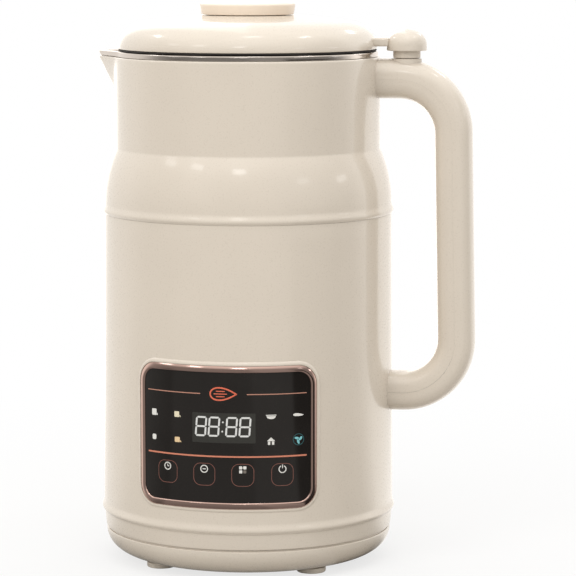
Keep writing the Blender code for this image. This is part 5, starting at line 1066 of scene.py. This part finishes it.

# %% [markdown]
# ## Knob, liner and seal
#
# The knob is a flat round of a warmer plastic. It widens upwards a little, so fingers can hold it. Under the
# lid a white liner closes the cup, and a rubber seal fills the gap between the lid and the steel rim: from
# outside it is only a thin dark line, and its dark colour is painted shade for that shadowed gap. A long
# steel rod hangs from the liner and stops the machine when foam reaches it.

# %% Make the knob and what is under the lid
KNOB_BOTTOM = LID_CROWN + 0.3
KNOB_TOP = edge_of("lid_knob", 2, 1)
PEG_TIP, PEG_RADIUS = KNOB_BOTTOM - 5, 2.6
HOLLOW_TOP, BOSS_RADIUS, HOLLOW_RADIUS = KNOB_BOTTOM + 3.2, 5.0, 20.2
knob_corners = [(0, KNOB_TOP, 0), (0, PEG_TIP, 0), (PEG_RADIUS, PEG_TIP, 0.6), (PEG_RADIUS, KNOB_BOTTOM, 0),
                (BOSS_RADIUS, KNOB_BOTTOM, 0), (BOSS_RADIUS, HOLLOW_TOP, 0), (HOLLOW_RADIUS, HOLLOW_TOP, 0.3),
                (HOLLOW_RADIUS, KNOB_BOTTOM, 0), (22.35, KNOB_BOTTOM, 0.4), (23.3, KNOB_TOP - 0.05, 1.25),
                (16, KNOB_TOP, 0)]
dress("knob", turned(softened(knob_corners, 6)), "knob_plastic", "lid", "lid_knob")

# %% Liner and seal
LINER_FLOOR = edge_of("lid_liner", 2, 0)
LINER_TOP, FLANGE_BOTTOM = LID_BOTTOM + 2.1, LID_BOTTOM + 0.3
LINER_RADIUS, LINER_WALL, FLANGE_RADIUS = 58.2, 1.5, 60.7
liner_inside, liner_inner_floor = LINER_RADIUS - LINER_WALL, LINER_FLOOR + LINER_WALL
liner_corners = [(0, LINER_FLOOR, 0), (LINER_RADIUS, LINER_FLOOR, 1.4), (LINER_RADIUS, FLANGE_BOTTOM, 0),
                 (FLANGE_RADIUS, FLANGE_BOTTOM, 0), (FLANGE_RADIUS, LINER_TOP, 0.3),
                 (liner_inside, LINER_TOP, 0.2), (liner_inside, liner_inner_floor, 1.3),
                 (0, liner_inner_floor, 0)]
liner = dress("liner", turned(softened(liner_corners), 160), "white_plastic", "lid", "lid_liner")
# The seal is a real part; its dark rubber colour is painted shade for the gap under the lid.
SEAL_INSIDE, SEAL_RADIUS, SEAL_TOP, SEAL_SEAT = 58.5, 62.75, LID_BOTTOM - 0.3, RIM_TOP + 0.3
seal_corners = [(SEAL_INSIDE, RIM_TOP - 3.7, 0.15), (59.35, RIM_TOP - 3.2, 0.15), (59.4, SEAL_SEAT, 0),
                (SEAL_RADIUS, SEAL_SEAT, 0.15), (SEAL_RADIUS, SEAL_TOP, 0.15), (SEAL_INSIDE, SEAL_TOP, 0)]
dress("rim_seal", turned(softened(seal_corners), 160), "grey_rubber", "lid", "lid_seal")

# %% Foam rod
ROD_X = middle_of("overflow_probe")[0]
ROD_TIP, ROD_TOP = edge_of("overflow_probe", 2, 0), edge_of("overflow_probe", 2, 1)
ROD_RADIUS, ROD_HEAD, HEAD_SEAT = 1.6, 4.0, LINER_FLOOR + 1.8
rod_corners = [(0, ROD_TIP, 0), (ROD_RADIUS, ROD_TIP, 0.9), (ROD_RADIUS, HEAD_SEAT, 0),
               (ROD_HEAD, HEAD_SEAT, 0.3), (ROD_HEAD, ROD_TOP, 0.5), (0, ROD_TOP, 0)]
rod_steel = turned_finish("polished_rod_steel", (206, 203, 199), 0.18, centre=ROD_X)
rod = turned(softened(rod_corners), 40, ROD_X)
dress("foam_rod", rod, "steel", "lid", "overflow_probe", finish=rod_steel)
drill(liner, ROD_RADIUS + 0.3, LINER_FLOOR - 1, LINER_FLOOR + 3, 32, ROD_X)

# %% [markdown]
# ## The handle
#
# The handle is a hollow loop made of two mouldings that meet at its middle: one half looks out, the other in.
# A squarish round section runs along straight arms and two bends. We draw half of the section at many
# stations on the way and bridge each to the next. Where the halves meet, a tiny chamfer leaves a fine seam,
# which is almost closed along the grip and opens a little in the lower bend, as on the real one.

# %% Stations along the handle
HANDLE_DEPTH = 19.5
ARM_THICK = 19.3
GRIP_THICK = 18.3
UPPER_BEND = 26.5
LOWER_BEND = 25.5
SLANT = math.radians(1.15)
ARM_CENTRE = ARM_TOP - ARM_THICK / 2
LOWER_ARM = BARREL_BOTTOM + 54.4
GRIP_X = NECK_RADIUS + 36.3
GRIP_TOP = ARM_CENTRE - UPPER_BEND
GRIP_BOTTOM = LOWER_ARM + LOWER_BEND
GRIP_FOOT_X = GRIP_X + (GRIP_TOP - GRIP_BOTTOM) * math.tan(SLANT)
GRIP_TURN = math.pi / 2 - SLANT
ROOT_DEPTH = 1.6
ARM_STEPS = 14


def bend(x, z, radius, turns, thicks, steps):
    """Stations round one bend: (x from the axis, height, direction that the outside faces, thickness)."""
    stations = []
    for step in range(steps + 1):
        share = step / steps
        turn = turns[0] + share * (turns[1] - turns[0])
        thick = thicks[0] + share * (thicks[1] - thicks[0])
        stations.append((x + radius * math.sin(turn), z + radius * math.cos(turn), turn, thick))
    return stations


def handle_stations():
    root, bend_x = NECK_RADIUS - ROOT_DEPTH, GRIP_X - UPPER_BEND
    arm = [root + (bend_x - root) * step / ARM_STEPS for step in range(ARM_STEPS)]
    stations = [(x, ARM_CENTRE, 0, ARM_THICK) for x in arm]
    stations += bend(bend_x, GRIP_TOP, UPPER_BEND, (0, GRIP_TURN), (ARM_THICK, GRIP_THICK), 28)
    bend_x = GRIP_FOOT_X - LOWER_BEND
    stations += bend(bend_x, GRIP_BOTTOM, LOWER_BEND, (GRIP_TURN, math.pi), (GRIP_THICK, ARM_THICK), 24)
    return stations + [(barrel_radius(LOWER_ARM) - ROOT_DEPTH, LOWER_ARM, math.pi, ARM_THICK)]


SECTION_STEPS = 28
SQUARENESS = 2.5
SEAM_EDGE, EDGE_GROWTH = 0.01, 0.03
SEAM_CHAMFER, CHAMFER_GROWTH = 0.02, 0.09


def half_section(side, thick, openness):
    edge, chamfer = SEAM_EDGE + EDGE_GROWTH * openness, SEAM_CHAMFER + CHAMFER_GROWTH * openness
    power = 2 / SQUARENESS
    points = [(HANDLE_DEPTH / 2 - chamfer, side * edge)]
    for step in range(1, SECTION_STEPS):
        turn = math.pi * (0.02 + 0.96 * step / SECTION_STEPS)
        wide = abs(math.cos(turn)) ** power * math.copysign(1, math.cos(turn))
        deep = max(thick / 2 * math.sin(turn) ** power, edge + chamfer)
        points.append((HANDLE_DEPTH / 2 * wide, side * deep))
    points.append((-HANDLE_DEPTH / 2 + chamfer, side * edge))
    return points


# %% Bridge the sections into two halves
SEAM_OPENS = 1.8
SEAM_GROWTH = 0.3


def handle_half(side):
    shape = bmesh.new()
    loops = []
    for x, z, turn, thick in handle_stations():
        openness = min(1, max(0, (turn - SEAM_OPENS) / SEAM_GROWTH))
        section = half_section(side, thick, openness)
        places = [(AXIS_X + x + out * math.sin(turn), y, z + out * math.cos(turn)) for y, out in section]
        corners = [shape.verts.new([value * MM for value in place]) for place in places]
        loops.append([shape.edges.new(pair) for pair in zip(corners, corners[1:] + corners[:1])])
    for first, second in zip(loops, loops[1:]):
        bmesh.ops.bridge_loops(shape, edges=first + second)
    bmesh.ops.contextual_create(shape, geom=loops[0])
    bmesh.ops.contextual_create(shape, geom=loops[-1])
    return shape


outer_half = dress("handle_outside", handle_half(1), "cream_plastic", "jug", "handle_outer")
dress("handle_inside", handle_half(-1), "cream_plastic", "jug", "handle_inner")
SOCKET_BOTTOM = edge_of("coupler_socket", 2, 0)
SOCKET_RADIUS, SOCKET_BORE, SOCKET_FLOOR = 7.2, 5.3, SOCKET_BOTTOM + 1.4
drill(outer_half, SOCKET_RADIUS + 0.2, SOCKET_BOTTOM - 2.5, ARM_TOP + 9, 64, CAP_X)
socket_corners = [(0, SOCKET_BOTTOM, 0), (SOCKET_RADIUS, SOCKET_BOTTOM, 0.3), (SOCKET_RADIUS, ARM_TOP, 0.5),
                  (SOCKET_BORE, ARM_TOP, 0.3), (SOCKET_BORE, SOCKET_FLOOR, 0.2), (0, SOCKET_FLOOR, 0)]
dress("socket", turned(softened(socket_corners), 64, CAP_X), "cream_satin", "jug", "coupler_socket")

# %% [markdown]
# ## Softer edges on small CAD pieces
#
# A few small pieces already have the right shape in the CAD model and only lack soft edges: the power inlet,
# its three pins and the blade. A CAD node's mesh is loose triangles, so we take a copy, merge it, join flat
# triangles into whole faces, and bevel the edges that are left.

# %% Copy, merge and bevel
def soften_node(node, edge, slot, body, least=30):
    shape = bmesh.new()
    shape.from_mesh(frame["nodes"][node].data)
    bmesh.ops.remove_doubles(shape, verts=shape.verts, dist=0.01 * MM)
    bmesh.ops.dissolve_limit(shape, angle_limit=math.radians(1), verts=shape.verts, edges=shape.edges)
    hard = [line for line in shape.edges if line.is_manifold and line.calc_face_angle() > math.radians(least)]
    round_edges(shape, hard, edge, 2)
    dress(node + "_soft", shape, slot, body, node)


for node in ("inlet_pin_live", "inlet_pin_earth", "inlet_pin_neutral"):
    soften_node(node, 0.25, "brass", "jug")
soften_node("power_inlet", 0.35, "black_plastic", "jug")
soften_node("blade", 0.18, "steel", "rotor", 40)

# %% [markdown]
# ## Floor, light and camera
#
# The object stands on a plain pale floor in a white studio. Big soft lamps light it at a level where a colour
# renders about as it is written, and small ones leave the short bright streaks that gloss needs. To the
# camera the floor and the sky are white, and the floor still takes a shadow, because near the object only
# part of its brightness is its own. A glossy surface sees the studio too: it is bright behind and above the
# object and dim on the camera's side, with a few upright bands, as from screens that stand around the set.
# They keep the front of the jug calm, let its sides catch light and draw the faint stripes that curved glass
# and metal show.

# %% Direction of the camera
CAMERA_TURN = math.radians(9.5)
toward = Vector((math.sin(CAMERA_TURN), -math.cos(CAMERA_TURN), 0))
right = Vector((math.cos(CAMERA_TURN), math.sin(CAMERA_TURN), 0))
axis_point = Vector((AXIS_X * MM, 0, 0))


def link_math(tree, operation, first, second):
    step = tree.nodes.new("ShaderNodeMath")
    step.operation = operation
    for number, value in enumerate((first, second)):
        if isinstance(value, (int, float)):
            step.inputs[number].default_value = value
        else:
            tree.links.new(value, step.inputs[number])
    return step.outputs["Value"]


# %% Bands of the studio, by the angle from the camera's direction
FRONT_DIM = 0.27
BRIGHTEST = 2.4
BANDS = [(-180, 2.1), (-165, 2.1), (-150, 1.15), (-110, 1.05), (-85, 0.4), (-61, 0.15), (-58, FRONT_DIM),
         (0, FRONT_DIM), (2, 0.36), (31, 0.36), (33, 0.03), (72, 0.05), (90, 0.5), (110, 1.6), (130, 1.4),
         (146, 1.2), (180, 1.3)]
WHITE = (1.0, 1.0, 1.0)
WARM = (1.0, 0.955, 0.90)


def link_dot(tree, vector, direction):
    return link_vectors(tree, "DOT_PRODUCT", vector, direction, "Value")


def link_bands(tree, vector):
    angle = link_math(tree, "ARCTAN2", link_dot(tree, vector, right), link_dot(tree, vector, toward))
    ramp = tree.nodes.new("ShaderNodeValToRGB")
    tree.links.new(link_range(tree, angle, 0, 1, -math.pi, math.pi), ramp.inputs["Fac"])
    stops = ramp.color_ramp.elements
    for turn, brightness in BANDS:
        ends = {-180: 0, 180: -1}
        stop = stops[ends[turn]] if turn in ends else stops.new((turn + 180) / 360)
        stop.color = (brightness / BRIGHTEST,) * 3 + (1,)
    return link_math(tree, "MULTIPLY", ramp.outputs["Color"], BRIGHTEST)


print("Bands around the object:", len(BANDS))

# %% Floor
floor_shape = bmesh.new()
bmesh.ops.create_circle(floor_shape, cap_ends=True, radius=6.0, segments=64)
floor_mesh = bpy.data.meshes.new("floor")
floor_shape.to_mesh(floor_mesh)
floor_shape.free()
floor = add_object("floor", floor_mesh)
floor_paint = bpy.data.materials.new("floor_paint")
floor_paint.use_nodes = True
tree = floor_paint.node_tree
tree.nodes.clear()
rays = tree.nodes.new("ShaderNodeLightPath")
lit = tree.nodes.new("ShaderNodeBsdfDiffuse")
bounced, seen = (0.56, 0.54, 0.51), (0.80, 0.79, 0.77)
tree.links.new(link_colours(tree, rays.outputs["Is Camera Ray"], bounced, seen), lit.inputs["Color"])
white = tree.nodes.new("ShaderNodeEmission")
tree.links.new(link_colours(tree, rays.outputs["Is Glossy Ray"], WHITE, WARM), white.inputs["Color"])
place = tree.nodes.new("ShaderNodeTexCoord").outputs["Object"]
distance = link_vectors(tree, "LENGTH", place, result="Value")
# In reflections the floor is painted darker close to the jug, down to 0.7 of its brightness: painted shade
# for the shadow the jug casts there.
near = link_range(tree, distance, 0.7, 1.0, 0.09, 0.15)
bands = link_math(tree, "MULTIPLY", link_bands(tree, place), near)
banded = link_math(tree, "MULTIPLY", rays.outputs["Is Glossy Ray"], link_math(tree, "SUBTRACT", bands, 1.0))
tree.links.new(link_math(tree, "ADD", banded, 1.0), white.inputs["Strength"])
own_light = link_range(tree, distance, 0.74, 1.0, 0.16, 0.5)
to_camera = link_math(tree, "MULTIPLY", rays.outputs["Is Camera Ray"], own_light)
blend = tree.nodes.new("ShaderNodeMixShader")
tree.links.new(link_math(tree, "ADD", to_camera, rays.outputs["Is Glossy Ray"]), blend.inputs["Fac"])
tree.links.new(lit.outputs["BSDF"], blend.inputs[1])
tree.links.new(white.outputs["Emission"], blend.inputs[2])
out = tree.nodes.new("ShaderNodeOutputMaterial")
tree.links.new(blend.outputs["Shader"], out.inputs["Surface"])
floor_paint.cycles.emission_sampling = "NONE"
floor_mesh.materials.append(floor_paint)
print("Floor ready")

# %% Sky
world = bpy.data.worlds.new("studio_sky")
world.use_nodes = True
bpy.context.scene.world = world
tree = world.node_tree
sky = tree.nodes["Background"]
rays = tree.nodes.new("ShaderNodeLightPath")
tree.links.new(link_colours(tree, rays.outputs["Is Glossy Ray"], WHITE, WARM), sky.inputs["Color"])
direction = tree.nodes.new("ShaderNodeTexCoord").outputs["Generated"]
above = link_range(tree, link_dot(tree, direction, (0, 0, 1)), 0.0, 1.15, 0.3, 0.7)
around = link_math(tree, "MAXIMUM", link_bands(tree, direction), FRONT_DIM)
for_gloss = link_math(tree, "MAXIMUM", around, above)
SKY_LIGHT = 0.69
more = link_math(tree, "SUBTRACT", for_gloss, SKY_LIGHT)
glossy = link_math(tree, "MULTIPLY", rays.outputs["Is Glossy Ray"], more)
camera_part = link_math(tree, "MULTIPLY", rays.outputs["Is Camera Ray"], 1 - SKY_LIGHT)
strength = link_math(tree, "ADD", link_math(tree, "ADD", glossy, camera_part), SKY_LIGHT)
tree.links.new(strength, sky.inputs["Strength"])
world.cycles.sampling_method = "NONE"
print("Sky ready")

# %% Lamps: name, place, power and size of the soft ones; turn, rise and power of the small ones
LAMP_AIM = axis_point + Vector((0, 0, 0.16))


def turn_to(item, target):
    item.rotation_euler = (target - item.location).to_track_quat("-Z", "Y").to_euler()


def add_lamp(name, place, power, size, in_gloss):
    lamp = bpy.data.lights.new(name, "AREA")
    lamp.energy = power
    lamp.shape = "RECTANGLE"
    lamp.size, lamp.size_y = size
    holder = add_object(name, lamp)
    holder.location = place
    turn_to(holder, LAMP_AIM)
    holder.visible_glossy = in_gloss


for name, place, power, size in (
    ("front_left_lamp", (-0.9, -1.5, 0.9), 8.2, (0.9, 1.2)),
    ("front_right_lamp", (1.1, -1.2, 0.7), 2.0, (0.8, 1.2)),
    ("front_top_lamp", (0.1, -0.9, 1.3), 3.5, (0.8, 0.8)),
    ("top_lamp", (0.1, 0.1, 1.6), 5.3, (1.2, 1.2)),
    ("back_lamp", (-0.5, 1.6, 0.4), 9, (1.2, 0.6)),
):
    add_lamp(name, place, power, size, False)
SPARK_DISTANCE = 1.5
SPARK_SIZE = (0.25, 0.12)
sparks = [(-105.6, 43.8, 0.6), (-36.1, 33.0, 0.25), (18.3, 74.3, 0.6), (91.5, 58.9, 0.6), (153.4, 35.0, 0.6),
          (2.0, 31.9, 0.4), (-63.5, 30.9, 0.2), (55.1, 21.2, 0.15), (91.8, 16.9, 0.2)]
for number, (turn, rise, power) in enumerate(sparks):
    turn, rise = math.radians(turn), math.radians(rise)
    away = Vector((math.sin(turn) * math.cos(rise), -math.cos(turn) * math.cos(rise), math.sin(rise)))
    add_lamp(f"spark_{number}", LAMP_AIM + away * SPARK_DISTANCE, power, SPARK_SIZE, True)

# %% [markdown]
# ## The camera
#
# The photograph was taken from a little above and to the right of the front, with a long lens, so upright
# lines stay upright. These numbers came from matching the round edges at several heights: the higher an
# ellipse sits, the flatter it looks.

# %% Camera
CAMERA_DISTANCE = 1.358
CAMERA_HEIGHT = 0.3028
AIM_ASIDE = 0.0196
AIM_HEIGHT = 0.1323
camera_data = bpy.data.cameras.new("camera")
camera_data.lens = 174
camera_data.sensor_width = 36
camera = add_object("camera", camera_data)
bpy.context.scene.camera = camera
camera.location = axis_point + toward * CAMERA_DISTANCE + Vector((0, 0, CAMERA_HEIGHT))
turn_to(camera, axis_point + right * AIM_ASIDE + Vector((0, 0, AIM_HEIGHT)))
bpy.context.scene.view_settings.view_transform = "Standard"
print("Camera at", [round(value, 3) for value in camera.location])
